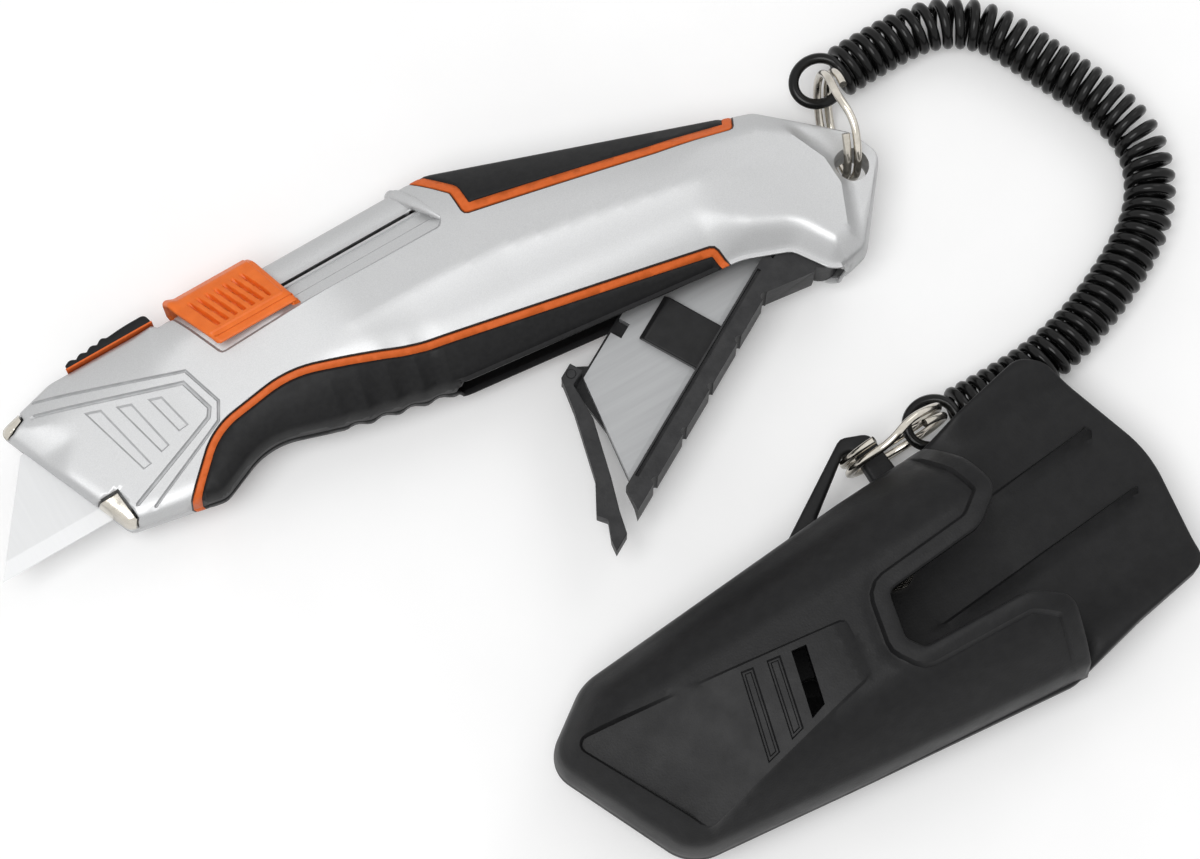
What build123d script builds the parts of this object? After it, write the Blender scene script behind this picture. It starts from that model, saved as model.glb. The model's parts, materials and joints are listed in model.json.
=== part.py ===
from build123d import *

import math
import os

os.makedirs("parts", exist_ok=True)

# Utility knife with sliding blade, swing-out blade drawer, coiled lanyard and belt holster.
# All lengths are millimetres. The set lies on a table at z = 0, the knife on its right side.
# +X runs along the blade slide from nose to tail, +Y from belly to spine, +Z up.

# Knife body, two mirrored halves that meet on the parting plane
HALF_THICKNESS = 11.0
MID_Z = HALF_THICKNESS
NOSE_TIP_HALF = 4.2
NOSE_ROOT_HALF = 5.8
TAIL_END_HALF = 4.4
CHEEK_FRONT_X = -28.0
CHEEK_REAR_X = 42.0
NOSE_ROOT_X = -58.0
NOSE_FRONT_X = -92.2
TAIL_END_X = 73.0
SPINE_Y = 25.6
NOSE_SPINE_Y = SPINE_Y + 1.0
EDGE_HEIGHT = 4.5
EDGE_SLOPE = 45.0
SKIN = 1.6
BORDER_WIDTH = 1.7
ENGRAVING = 0.4
FIT = 0.03
RUN = 0.05
PLAY = 0.1
SLIDE_PLAY = 0.3
GAP = 0.35

# Standard trapezoid blade
BLADE_LENGTH = 61.0
BLADE_HEIGHT = 19.0
BLADE_BACK = 33.0
BLADE_THICKNESS = 0.63
BLADE_GRIND = 3.0
NOTCH_PITCH = 10.0
NOTCH_WIDTH = 3.1
NOTCH_DEPTH = 2.2
BLADE_TIP_X = -104.7
BLADE_EDGE_Y = -1.2
BLADE_TRAVEL = 27.0

# Slide track along the spine and the slider that rides on it
TRACK_FRONT_X = -57.5
TRACK_LOW_Y = 13.6
TRACK_LOW_HALF = 9.6
TRACK_TOP_HALF = 3.6
TRACK_TOP_Y = SPINE_Y + 0.6
SLIDER_FRONT_X = -56.0
SLIDER_LENGTH = 23.0
SLIDER_REAR_X = SLIDER_FRONT_X + SLIDER_LENGTH
TRACK_REAR_X = SLIDER_REAR_X + BLADE_TRAVEL + 2.0
SLIDER_LOW_Y = 15.8
SLIDER_RIGHT_LOW_Y = SLIDER_LOW_Y + 5.0
SLIDER_TOP_Y = SPINE_Y + 2.6
SLIDER_SHOULDER = 1.4
SLIDER_FRONT_RAKE = 7.0
SLIDER_REAR_RAKE = 4.6
SLIDER_WALL = 2.0
SLIDER_RIBS = 6
RIB_START = 3.4
RIB_PITCH = 2.5
RIB_GROOVE = 1.1
RIB_DEPTH = 0.8
RIB_LOW_Y = 18.5
SLOT_Y = 19.4
SLOT_WIDTH = 1.6
STEM_SETBACK = 5.0
STEM_LENGTH = 9.0
CARRIER_FRONT_X = -82.0
CARRIER_LENGTH = 42.0
CARRIER_LOW_Y = 8.0
CARRIER_TOP_Y = 21.3
CARRIER_HALF = 3.1
LUG_HALF = 1.1
SPRING_FRONT_X = -55.0
SPRING_REAR_X = -21.0
SPRING_SHEET = 0.4
SPRING_BUMP = 0.6
SPRING_HALF = 2.4
SPRING_WAY = 1.6

# Soft thumb pad on the nose's spine
PAD_X = -67.0
PAD_LENGTH = 17.4
PAD_HEIGHT = 1.4
PAD_HALF = 3.2
PAD_BAND = 0.8
PAD_RIBS = 5
PAD_RIB_PITCH = 2.3
PAD_RIB_RADIUS = 0.55

# Blade drawer, hinged in the tail, modelled at its photographed opening
PIVOT_X = 53.5
PIVOT_Y = -24.5
OPEN_HEADING = 209.0
PIN_RADIUS = 1.5
PIN_HALF_LENGTH = 6.4
KNUCKLE_RADIUS = 3.6
DRAWER_HALF = 4.2
BAY_HALF = DRAWER_HALF + 0.4
RIM_LOW = 4.5
RIM_LIP = 8.6
STORED_EDGE = 7.0
STORED_TIP = 55.8
SPARE_BLADES = 3
SPARE_PITCH = BLADE_THICKNESS + PLAY
PLATE_THICKNESS = 1.6
CLIP_REAR = 21.0
CLIP_WIDTH = 9.3
CLIP_REACH = 12.2
CLIP_THICKNESS = 1.6
CLIP_CHAMFER = 0.9
NOTCH_RADIUS = 0.75
GROOVE_WIDTH = 0.7
GROOVE_DEPTH = 1.2
GROOVE_ENDS = (9.0, 54.0)
LATCH_ROOT = (42.8, 28.0)
LATCH_HALF = 2.0
LATCH_PIN_RADIUS = 0.8

# Screws that draw the halves together from the right side
SCREW_PLACES = ((-5.0, 8.0), (60.5, -3.5))
SCREW_RADIUS = 1.5
SCREW_HEAD_RADIUS = 2.9
SCREW_HEAD_HEIGHT = 1.7
SCREW_LENGTH = 9.0
SCREW_SEAT = 4.0
SCREW_PLAY = 0.2
RECESS_LENGTH = 3.2
RECESS_WIDTH = 0.8
RECESS_DEPTH = 0.9

# Split rings
RING_RADIUS = 10.0
RING_WIRE = 1.5
RING_TURN_GAP = 0.45
RING_SPLIT = 28.0
HOLE_X = 66.8
HOLE_Y = -13.6
HOLE_RADIUS = 3.3
EYE_INNER_X = 38.6
RING_Z = RING_RADIUS + RING_WIRE / 2 + 0.25
RING_HEADING = math.radians(72.2)
RING_LEAN = math.radians(5.0)
KNIFE_RING_LIFT = max(MID_Z - RING_Z, 0.0)
KNIFE_RING_Z = RING_Z + KNIFE_RING_LIFT - 0.2
KNIFE_RING_REACH = RING_RADIUS - 0.6
KNIFE_RING_X = HOLE_X + KNIFE_RING_REACH * math.cos(RING_HEADING)
KNIFE_RING_Y = HOLE_Y + KNIFE_RING_REACH * math.sin(RING_HEADING)
HOLSTER_RING_X = EYE_INNER_X - 2.2 + RING_RADIUS
HOLSTER_RING_Y = -61.2

# Coiled lanyard: route of the coil's axis on the table, then the wire and its curls
COIL_START = (
    KNIFE_RING_X + RING_RADIUS * math.cos(RING_HEADING) + 3.8,
    KNIFE_RING_Y + RING_RADIUS * math.sin(RING_HEADING) + 0.9,
)
COIL_END = (HOLSTER_RING_X + RING_RADIUS + 3.0, HOLSTER_RING_Y - 0.4)
COIL_ROUTE = (
    COIL_START, (86.0, 6.2), (97.5, 5.4), (106.0, -0.5), (111.0, -12.0), (116.5, -24.0),
    (118.6, -36.0), (112.5, -47.5), (101.0, -54.5), (87.5, -60.0), (73.2, -62.2), COIL_END,
)
CORD_WIRE = 1.7
CORD_GAP = 0.58
PITCH_EASE = 2.5
CURL_STEPS = 40
COIL_RADIUS = 3.9
COIL_Z = COIL_RADIUS + CORD_WIRE / 2 + 0.1

# Holster, lying on its belt clip
HOLSTER_BACK_Z = 10.6
HOLSTER_WALL = 2.2
HOLSTER_MOUTH_X = 52.5
HOLSTER_TIP_X = -38.6
HOLSTER_MOUTH_TOP = 36.0
HOLSTER_TIP_TOP = 28.0
HOLSTER_EDGE_Z = 20.0
HOLSTER_SLOPE = 30.0
LIP_PROUD = 1.0
LIP_WIDTH = 3.6
LIP_LOW_Z = HOLSTER_EDGE_Z + 2.0
PANEL_PROUD = 0.7
EYE_THICKNESS = 3.0
RIDGE_HEIGHT = 1.2
CLIP_LEFT_Y = -78.0
CLIP_RIGHT_Y = -107.0
BELT_CLIP_SHEET = 1.9
BELT_CLIP_REAR_X = 46.0
BELT_CLIP_FRONT_X = -24.0
BELT_CLIP_FOOT_X = 20.0
BELT_CLIP_BEND = 2.0
BELT_CLIP_INNER_BEND = 0.8
TONGUE_TIP = 4.0
TONGUE_LIFT = 3.4
RIVET_PLACES = ((33.0, -82.4), (33.0, -103.0))
RIVET_RADIUS = 2.0
RIVET_HEAD_RADIUS = 3.4
RIVET_HEAD_HEIGHT = 1.2

FAR = 60.0


def rounded(corners, plane=Plane.XY):
    """A face with the given corners, each (first, second, corner radius)."""
    points = [corner[:2] for corner in corners]
    line = FilletPolyline(*points, radius=[corner[2] for corner in corners], close=True)
    return plane * make_face(line)


def flat(corners, plane=Plane.XY):
    """A face with the given sharp corners."""
    return plane * make_face(Polyline(*corners, close=True))


def prism(face, low, high):
    """The face, which lies in the XY plane, stretched from one height to another."""
    return extrude(Pos(0, 0, low) * face, high - low, dir=(0, 0, 1))


def along_y(corners):
    """A long bar with the given XZ section."""
    return extrude(flat(corners, Plane.XZ), FAR * 3, both=True)


def along_x(corners, front, rear):
    """A bar with the given YZ section between two places on X."""
    return extrude(Pos(front, 0, 0) * flat(corners, Plane.YZ), rear - front)


def solid_of(shape):
    """The single solid that a shape holds."""
    solids = shape.solids()
    return max(solids, key=lambda item: item.volume)


BODY_CORNERS = (
    (NOSE_FRONT_X, 23.2, 1.5), (-80.6, -4.8, 2.0), (-62.5, -8.4, 4.0), (-51.0, -3.4, 14.0),
    (-35.0, -8.6, 12.0), (-16.0, -12.8, 30.0), (40.0, -19.0, 12.0), (48.6, -22.3, 3.0),
    (54.0, -30.4, 6.0), (61.0, -28.8, 6.0), (73.0, -14.0, 6.0), (70.6, -7.8, 6.0),
    (56.8, 4.8, 6.0), (-2.0, SPINE_Y, 12.0), (TRACK_FRONT_X, SPINE_Y, 0.3),
    (TRACK_FRONT_X - 1.0, NOSE_SPINE_Y, 0.3), (-80.0, NOSE_SPINE_Y, 6.0),
)
ROOF_CORNERS = (
    (-96.0, 23.0), (-86.0, -6.0), (-63.0, -8.8), (-51.0, -4.2), (-35.0, -8.8), (-16.0, -12.9),
    (40.0, -19.2), (47.5, -22.0), (53.0, -30.6), (62.0, -29.2), (73.6, -14.0), (71.2, -7.4),
    (57.2, 4.9), (-2.0, SPINE_Y + 0.2), (-82.0, NOSE_SPINE_Y),
)


def crown(inset):
    """The bar that sets the half thickness from nose to tail."""
    top = HALF_THICKNESS - inset
    return along_y((
        (NOSE_FRONT_X - 2, -1), (NOSE_FRONT_X - 2, NOSE_TIP_HALF - inset),
        (NOSE_ROOT_X, NOSE_ROOT_HALF - inset), (CHEEK_FRONT_X, top), (CHEEK_REAR_X, top),
        (TAIL_END_X, TAIL_END_HALF - inset), (TAIL_END_X + 2, TAIL_END_HALF - inset),
        (TAIL_END_X + 2, -1),
    ))


def half_blank(inset=0.0):
    """One half of the knife, solid, with its outer surface set in by the given depth."""
    outline = offset(rounded(BODY_CORNERS), -inset) if inset else rounded(BODY_CORNERS)
    wall = prism(outline, 0, HALF_THICKNESS)
    eaves = flat(ROOF_CORNERS)
    if inset:
        eaves = offset(eaves, -inset, kind=Kind.INTERSECTION)
    low = EDGE_HEIGHT - 0.41 * inset
    roof = prism(eaves, -1, low)
    roof += extrude(Pos(0, 0, low) * eaves, HALF_THICKNESS, taper=EDGE_SLOPE)
    return wall & crown(inset) & roof


def slope_half(y):
    """Half thickness of the track's shoulder at a height on the spine."""
    share = (TRACK_TOP_Y - y) / (TRACK_TOP_Y - TRACK_LOW_Y)
    return TRACK_TOP_HALF + share * (TRACK_LOW_HALF - TRACK_TOP_HALF)


def track_cut():
    """What the track takes off one half, above its sloping shoulder."""
    section = (
        (TRACK_TOP_Y, TRACK_TOP_HALF), (TRACK_LOW_Y, TRACK_LOW_HALF), (TRACK_LOW_Y, FAR),
        (FAR, FAR), (FAR, TRACK_TOP_HALF),
    )
    return along_x(section, TRACK_FRONT_X, TRACK_REAR_X)


BELLY_LINE = (
    (-70.2, -20.0, 0), (-69.6, -8.0, 2.0), (-58.5, 2.8, 14.0), (-42.0, 4.6, 22.0),
    (-20.0, -3.6, 40.0), (36.5, -14.8, 1.5), (38.6, -24.0, 0), (38.6, -45.0, 0), (-70.2, -45.0, 0),
)
TOP_LINE = (
    (-6.0, SPINE_Y + 0.8, 0), (0.2, 18.4, 1.0), (0.2, 13.2, 1.0), (51.0, 2.6, 1.0), (54.2, 8.4, 0),
    (54.2, 45.0, 0), (-6.0, 45.0, 0),
)


def region(corners, inset=0.0):
    """A column over one of the soft grip's outlines."""
    face = rounded(corners)
    if inset:
        face = offset(face, -inset)
    return prism(face, -1, FAR)


BAY_CORNERS = (
    (-15.2, -34.0), (-15.2, -11.2), (-9.8, -4.4), (-3.8, -1.7), (13.0, 10.6), (37.0, 7.6),
    (49.5, 4.4), (62.3, -17.2), (61.2, -22.0), (57.8, -22.0), (57.8, -26.8), (54.0, -34.0),
)


def inner_space():
    """The hollows in one half: blade way, carrier way and drawer bay."""
    blade_end = BLADE_TIP_X + BLADE_LENGTH + BLADE_TRAVEL + 3 * GAP
    blade_start = NOSE_FRONT_X - 5
    blade_way = Pos((blade_start + blade_end) / 2, BLADE_EDGE_Y + BLADE_HEIGHT / 2, 0) * Box(
        blade_end - blade_start, BLADE_HEIGHT + 3 * GAP, BLADE_THICKNESS + 2 * SLIDE_PLAY)
    carrier_start = CARRIER_FRONT_X - 2 * GAP
    carrier_end = CARRIER_FRONT_X + CARRIER_LENGTH + BLADE_TRAVEL + 2 * GAP
    carrier_middle = ((carrier_start + carrier_end) / 2, (CARRIER_LOW_Y + CARRIER_TOP_Y) / 2, 0)
    carrier_way = Pos(*carrier_middle) * Box(
        carrier_end - carrier_start, CARRIER_TOP_Y - CARRIER_LOW_Y + 2 * GAP, 2 * (CARRIER_HALF + SLIDE_PLAY))
    spring_middle = ((SPRING_FRONT_X + SPRING_REAR_X) / 2, CARRIER_TOP_Y + GAP + SPRING_WAY / 2 - 0.25, 0)
    spring_way = Pos(*spring_middle) * Box(
        SPRING_REAR_X - SPRING_FRONT_X + 2 * SLIDE_PLAY, SPRING_WAY, 2 * (SPRING_HALF + 2 * PLAY))
    bay = prism(flat(BAY_CORNERS), -1, BAY_HALF)
    return [blade_way, carrier_way, spring_way, bay]


NOSE_FRAME = (
    ((-84.0, 24.4), (-57.6, 14.6), (-55.2, 6.6), (-57.0, 3.4), (-74.5, -4.4)),
    ((-85.0, 21.8), (-59.0, 12.9), (-57.2, 6.4), (-58.2, 4.9), (-77.0, -2.4)),
)
NOSE_FRAME_WIDTH = 0.7
NOSE_BARS = (
    ((-77.0, 17.3), (-74.2, 16.3), (-71.2, 2.9), (-72.9, 2.7)),
    ((-71.5, 15.3), (-68.9, 14.4), (-66.8, 4.2), (-68.6, 3.8)),
    ((-65.9, 13.5), (-63.6, 12.7), (-62.0, 5.7), (-64.0, 5.5)),
)


def engraving(blank, core):
    """The layer of one half's surface that the nose's frame lines and bars take away."""
    marks = [flat(bar) for bar in NOSE_BARS]
    marks += [trace(Polyline(*line), NOSE_FRAME_WIDTH) for line in NOSE_FRAME]
    layer = blank - core
    return [layer & prism(mark, 0, FAR) for mark in marks]


def place(side, shape):
    """Put a half that was made above z = 0 on the left (+1) or right (-1) of the parting plane."""
    if side < 0:
        shape = mirror(shape, about=Plane.XY)
    return Pos(0, 0, MID_Z) * shape


def knife_halves():
    """Both body halves with their soft skins, as {node: solid}."""
    nodes = {}
    blank = half_blank()
    core = half_blank(SKIN)
    marks = engraving(blank, half_blank(ENGRAVING))
    hollows = inner_space()
    hole = Pos(HOLE_X, HOLE_Y, 0) * Cylinder(HOLE_RADIUS, FAR)
    skin = blank - core
    cuts = [track_cut(), hole, *hollows]
    for hollow in cuts:
        skin -= hollow
    belly = skin & region(BELLY_LINE)
    top = skin & region(TOP_LINE)
    belly_grip = belly & region(BELLY_LINE, BORDER_WIDTH)
    top_grip = top & region(TOP_LINE, BORDER_WIDTH)
    skins = {
        "belly_border": belly - region(BELLY_LINE, BORDER_WIDTH),
        "belly_grip": belly_grip,
        "top_border": top - region(TOP_LINE, BORDER_WIDTH),
        "top_grip": top_grip,
    }
    body = blank
    for cut in [*cuts, *marks, belly, top]:
        body -= cut
    body -= Pos(PIVOT_X, PIVOT_Y, 0) * Cylinder(PIN_RADIUS + FIT, 2 * PIN_HALF_LENGTH + 0.4)
    for side, name in ((1, "left"), (-1, "right")):
        half = body - screw_cuts(side)
        if side > 0:
            half -= stem_slot()
        half = hooked(half, side)
        nodes[f"body_{name}"] = solid_of(place(side, half))
        for skin_name, shape in skins.items():
            nodes[f"{skin_name}_{name}"] = solid_of(place(side, shape))
    return nodes


HOOKS = (
    ((-83.4, 1.6), (-79.0, 1.6), (-78.4, -4.4), (-80.6, -6.0), (-84.0, -6.0)),
    ((-92.6, 25.6), (-87.4, 25.6), (-87.4, 22.6), (-90.0, 21.4), (-92.6, 21.4)),
)
HOOK_REACH = 2.2


def hooked(half, side):
    """Nose hooks: the right half's reach past the parting plane into notches of the left."""
    outline = rounded(BODY_CORNERS)
    for corners in HOOKS:
        if side > 0:
            half -= prism(offset(flat(corners), PLAY), -1, HOOK_REACH + PLAY)
        else:
            tab = prism(flat(corners), -HOOK_REACH, 0.5) & prism(outline, -FAR, FAR)
            half += tab - inner_space()[0]
    return half


def stem_slot():
    """The long slot in the left shoulder that the slider's stem runs in."""
    front = SLIDER_FRONT_X + STEM_SETBACK
    rear = front + STEM_LENGTH + BLADE_TRAVEL + 2 * GAP
    centre = ((front - GAP + rear - GAP) / 2, SLOT_Y, 0)
    return Pos(*centre) * Box(rear - front, SLOT_WIDTH, FAR)


def screw_cuts(side):
    """The screw holes of one half: clearance and head pocket on the right, bores on the left."""
    shapes = Part()
    for x, y in SCREW_PLACES:
        if side > 0:
            depth = SCREW_LENGTH - SCREW_SEAT + 0.5
            shapes += Pos(x, y, depth / 2) * Cylinder(SCREW_RADIUS + FIT, depth)
        else:
            shapes += Pos(x, y, SCREW_SEAT / 2) * Cylinder(SCREW_RADIUS + SCREW_PLAY, SCREW_SEAT)
            shapes += Pos(x, y, SCREW_SEAT + FAR / 2) * Cylinder(SCREW_HEAD_RADIUS + SCREW_PLAY, FAR)
    return shapes


def body_screws():
    """The screws, heads on the right side, each with a cross recess."""
    screws = []
    for x, y in SCREW_PLACES:
        seat = MID_Z - SCREW_SEAT
        head = Pos(x, y, seat - SCREW_HEAD_HEIGHT / 2) * Cylinder(SCREW_HEAD_RADIUS, SCREW_HEAD_HEIGHT)
        shank = Pos(x, y, seat + SCREW_LENGTH / 2) * Cylinder(SCREW_RADIUS, SCREW_LENGTH)
        screw = head + shank
        for turn in (0, 90):
            low = seat - SCREW_HEAD_HEIGHT
            screw -= Pos(x, y, low) * Rot(0, 0, turn) * Box(RECESS_LENGTH, RECESS_WIDTH, 2 * RECESS_DEPTH)
        screws.append(solid_of(screw))
    return Compound(screws)


def trapezoid_blade():
    """A blade with its front tip at the origin, its edge along +X and its back towards +Y."""
    run = (BLADE_LENGTH - BLADE_BACK) / 2
    shape = flat(((0, 0), (BLADE_LENGTH, 0), (BLADE_LENGTH - run, BLADE_HEIGHT), (run, BLADE_HEIGHT)))
    thick = BLADE_THICKNESS / 2
    section = (
        (0, -0.02), (BLADE_GRIND, -thick), (BLADE_HEIGHT, -thick), (BLADE_HEIGHT, thick),
        (BLADE_GRIND, thick), (0, 0.02),
    )
    blade = along_x(section, 0, BLADE_LENGTH) & prism(shape, -2, 2)
    for offset_x in (-NOTCH_PITCH / 2, NOTCH_PITCH / 2):
        mouth = Pos(BLADE_LENGTH / 2 + offset_x, BLADE_HEIGHT, 0)
        blade -= mouth * Box(NOTCH_WIDTH, 2 * NOTCH_DEPTH, 4)
    return solid_of(blade)


def blade():
    return Pos(BLADE_TIP_X, BLADE_EDGE_Y, MID_Z) * trapezoid_blade()


def saddle(depth, front, rear):
    """The slider's cross section between two places on X, its outside set in by a depth."""
    low, low_right, high = SLIDER_LOW_Y, SLIDER_RIGHT_LOW_Y, SLIDER_TOP_Y - depth
    shoulder = high - SLIDER_SHOULDER
    rail = SPINE_Y + GAP
    wall = SLIDER_WALL - depth

    def under(y):
        return slope_half(y) + GAP

    section = (
        (low, under(low)), (rail, under(rail)), (rail, -under(rail)), (low_right, -under(low_right)),
        (low_right, -under(low_right) - wall), (shoulder, -TRACK_TOP_HALF - wall),
        (high, -TRACK_TOP_HALF), (high, TRACK_TOP_HALF), (shoulder, TRACK_TOP_HALF + wall),
        (low, under(low) + wall),
    )
    return along_x(section, front, rear)


def slider_button():
    """The thumb slider, a saddle over the rail with ribs across it."""
    front, rear = SLIDER_FRONT_X, SLIDER_REAR_X
    high, low = SLIDER_TOP_Y + 2.8, SLIDER_LOW_Y - 2.8
    side = flat((
        (front, high), (rear - SLIDER_REAR_RAKE, high), (rear, low), (front + SLIDER_FRONT_RAKE, low),
    ))
    button = saddle(0, front, rear) & prism(side, -FAR, FAR)
    ribbed = prism(flat(((front, RIB_LOW_Y), (rear, RIB_LOW_Y), (rear, FAR), (front, FAR))), -FAR, FAR)
    for rib in range(SLIDER_RIBS):
        start = front + RIB_START + rib * RIB_PITCH
        groove = saddle(0, start, start + RIB_GROOVE) - saddle(RIB_DEPTH, start, start + RIB_GROOVE)
        button -= groove & ribbed
    return Pos(0, 0, MID_Z) * solid_of(button)


def blade_carrier():
    """The carrier inside: back bar, blade seat plate with two lugs, and the stem to the slider."""
    rear = CARRIER_FRONT_X + CARRIER_LENGTH
    middle = (CARRIER_FRONT_X + rear) / 2
    back_low = BLADE_EDGE_Y + BLADE_HEIGHT + SLIDE_PLAY
    bar = Pos(middle, (back_low + CARRIER_TOP_Y) / 2, 0) * Box(
        CARRIER_LENGTH, CARRIER_TOP_Y - back_low, 2 * CARRIER_HALF)
    seat_top = -BLADE_THICKNESS / 2 - PLAY
    plate = Pos(middle, (CARRIER_LOW_Y + back_low) / 2, (seat_top - CARRIER_HALF) / 2) * Box(
        CARRIER_LENGTH, back_low - CARRIER_LOW_Y, seat_top + CARRIER_HALF)
    carrier = bar + plate
    for notch in (-NOTCH_PITCH / 2, NOTCH_PITCH / 2):
        lug_x = BLADE_TIP_X + BLADE_LENGTH / 2 + notch
        reach = NOTCH_DEPTH - SLIDE_PLAY
        lug = Box(NOTCH_WIDTH - 4 * PLAY, reach + 4 * PLAY, 2 * LUG_HALF)
        carrier += Pos(lug_x, back_low - reach / 2, 0) * lug
    stem_x = SLIDER_FRONT_X + STEM_SETBACK + STEM_LENGTH / 2
    stem = Pos(stem_x, SLOT_Y, (CARRIER_HALF + FAR) / 2) * Box(
        STEM_LENGTH, SLOT_WIDTH - 2 * SLIDE_PLAY, FAR - CARRIER_HALF)
    low, high = SLOT_Y - 5, SLOT_Y + 5
    above = along_x(
        ((low, slope_half(low) + GAP), (high, slope_half(high) + GAP), (high, FAR * 2), (low, FAR * 2)),
        stem_x - 20, stem_x + 20)
    carrier += stem - above
    return Pos(0, 0, MID_Z) * solid_of(carrier)


def detent_spring():
    """A leaf spring over the carrier, with a bump for each stop."""
    y = CARRIER_TOP_Y + GAP + 1.5 * PLAY
    front, rear, ramp, crest = SPRING_FRONT_X, SPRING_REAR_X, 3.0, 10.0
    strip = (
        (front, y), (front + ramp, y + SPRING_BUMP), (front + crest, y + SPRING_BUMP),
        (front + crest + 2, y), (rear - crest - 2, y), (rear - crest, y + SPRING_BUMP),
        (rear - ramp, y + SPRING_BUMP), (rear, y),
    )
    upper = tuple((x, level + SPRING_SHEET) for x, level in reversed(strip))
    return solid_of(prism(flat(strip + upper), MID_Z - SPRING_HALF, MID_Z + SPRING_HALF))


def nose_pads():
    """The soft thumb pad on the nose's spine and the band under it."""
    band = Pos(PAD_X, NOSE_SPINE_Y + PAD_BAND / 2, MID_Z) * Box(
        PAD_LENGTH + 2 * PAD_BAND, PAD_BAND, 2 * (PAD_HALF + PAD_BAND))
    foot = NOSE_SPINE_Y + PAD_BAND
    pad = Pos(PAD_X, foot + PAD_HEIGHT / 2, MID_Z) * Box(PAD_LENGTH, PAD_HEIGHT, 2 * PAD_HALF)
    for rib in range(PAD_RIBS):
        x = PAD_X - PAD_LENGTH / 2 + (rib + 0.6) * PAD_RIB_PITCH
        pad += Pos(x, foot + PAD_HEIGHT, MID_Z) * Cylinder(PAD_RIB_RADIUS, 2 * PAD_HALF)
    return solid_of(band), solid_of(pad)


def drawer_place():
    """Moves a shape from the drawer's own axes to the photographed opening."""
    return Pos(PIVOT_X, PIVOT_Y, MID_Z) * Rot(0, 0, OPEN_HEADING)


def in_drawer(corners):
    """Drawer corners are (distance from pivot, height into the handle)."""
    return tuple((u, -w) for u, w in corners)


FLOOR_BACK = 22.0
RIM_NOTCHES = (13.0, 22.5, 32.7, 42.4, 53.0)
FLOOR_CORNERS = (
    (5.0, RIM_LOW), (57.0, RIM_LOW), (55.0, 8.0), (48.0, 17.5), (44.4, 26.0), (44.4, 29.2),
    (40.5, 29.2), (36.0, FLOOR_BACK), (12.0, FLOOR_BACK), (5.0, 14.0),
)
RIM_TOP = STORED_EDGE - SLIDE_PLAY
RIM_CORNERS = ((0.0, RIM_LOW), (59.4, RIM_LOW), (57.2, RIM_TOP), (0.0, RIM_TOP))
LIP_CORNERS = ((6.0, RIM_LOW), (59.4, RIM_LOW), (56.6, RIM_LIP), (6.0, RIM_LIP))
NECK_CORNERS = ((-2.4, 0.0), (4.5, -1.0), (12.0, RIM_LOW), (0.0, RIM_LOW + 0.6))


def drawer_tray():
    """The swing-out tray: floor plate, rim with a lip over the stored edges, hinge knuckle."""
    low = -DRAWER_HALF
    floor = prism(flat(in_drawer(FLOOR_CORNERS)), low, low + PLATE_THICKNESS)
    rim = prism(flat(in_drawer(RIM_CORNERS)), low, DRAWER_HALF)
    lip = prism(flat(in_drawer(LIP_CORNERS)), stored_top() + PLAY, DRAWER_HALF)
    knuckle = Cylinder(KNUCKLE_RADIUS, 2 * DRAWER_HALF)
    neck = prism(flat(in_drawer(NECK_CORNERS)), low, DRAWER_HALF)
    tray = floor + rim + lip + knuckle + neck
    tray -= Cylinder(PIN_RADIUS + RUN, FAR)
    for u in RIM_NOTCHES:
        tray -= Pos(u, -RIM_LOW, 0) * Cylinder(NOTCH_RADIUS, FAR)
    groove = Box(GROOVE_ENDS[1] - GROOVE_ENDS[0], GROOVE_WIDTH, 2 * GROOVE_DEPTH)
    tray -= Pos(sum(GROOVE_ENDS) / 2, GROOVE_WIDTH - RIM_LIP, DRAWER_HALF) * groove
    root = LATCH_ROOT[0], -LATCH_ROOT[1]
    pin_low, pin_high = low + PLATE_THICKNESS / 2, LATCH_HALF
    tray += Pos(*root, (pin_low + pin_high) / 2) * Cylinder(LATCH_PIN_RADIUS, pin_high - pin_low)
    return drawer_place() * solid_of(tray)


def blade_clip():
    """The raised strap that reaches from the rim's lip over the stored blades, with a sloped end."""
    low = stored_top() + PLAY
    near, far = RIM_LIP + PLAY, RIM_LIP + PLAY + CLIP_REACH
    front = CLIP_REAR + CLIP_WIDTH
    strap = prism(
        flat(in_drawer(((CLIP_REAR, near), (front, near), (front, far), (CLIP_REAR, far)))),
        low, low + CLIP_THICKNESS)
    end = strap.edges().filter_by(Axis.X).sort_by(lambda edge: edge.center().Z - edge.center().Y)[-1]
    return drawer_place() * solid_of(chamfer(end, CLIP_CHAMFER))


def stored_low():
    return -DRAWER_HALF + PLATE_THICKNESS + PLAY


def stored_top():
    return stored_low() + (SPARE_BLADES - 1) * SPARE_PITCH + BLADE_THICKNESS


def spare_blades():
    """The stack of spare blades, edges against the rim."""
    stack = []
    for index in range(SPARE_BLADES):
        z = stored_low() + index * SPARE_PITCH + BLADE_THICKNESS / 2
        turned = Rot(180, 0, 0) * trapezoid_blade()
        spare = Pos(STORED_TIP - BLADE_LENGTH, -STORED_EDGE, z) * turned
        stack.append(drawer_place() * spare)
    return Compound(stack)


LATCH_CORNERS = (
    (41.2, 29.2), (44.4, 29.2), (48.4, 24.2), (57.6, 14.4), (63.4, 10.8), (63.0, 8.6), (66.0, 6.2),
    (67.4, 4.3), (63.6, 4.3), (60.6, 7.6), (56.0, 12.0), (48.0, 20.4), (44.4, 26.6), (41.2, 26.6),
)


def latch_arm():
    """The springy arm at the drawer's front, with its hook and finger tab."""
    arm = prism(flat(in_drawer(LATCH_CORNERS)), -DRAWER_HALF + PLATE_THICKNESS + GAP, LATCH_HALF)
    root = LATCH_ROOT[0], -LATCH_ROOT[1]
    arm -= Pos(*root, 0) * Cylinder(LATCH_PIN_RADIUS + RUN, FAR)
    return drawer_place() * solid_of(arm)


def hinge_pin():
    return Pos(PIVOT_X, PIVOT_Y, MID_Z) * Cylinder(PIN_RADIUS, 2 * PIN_HALF_LENGTH)


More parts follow.
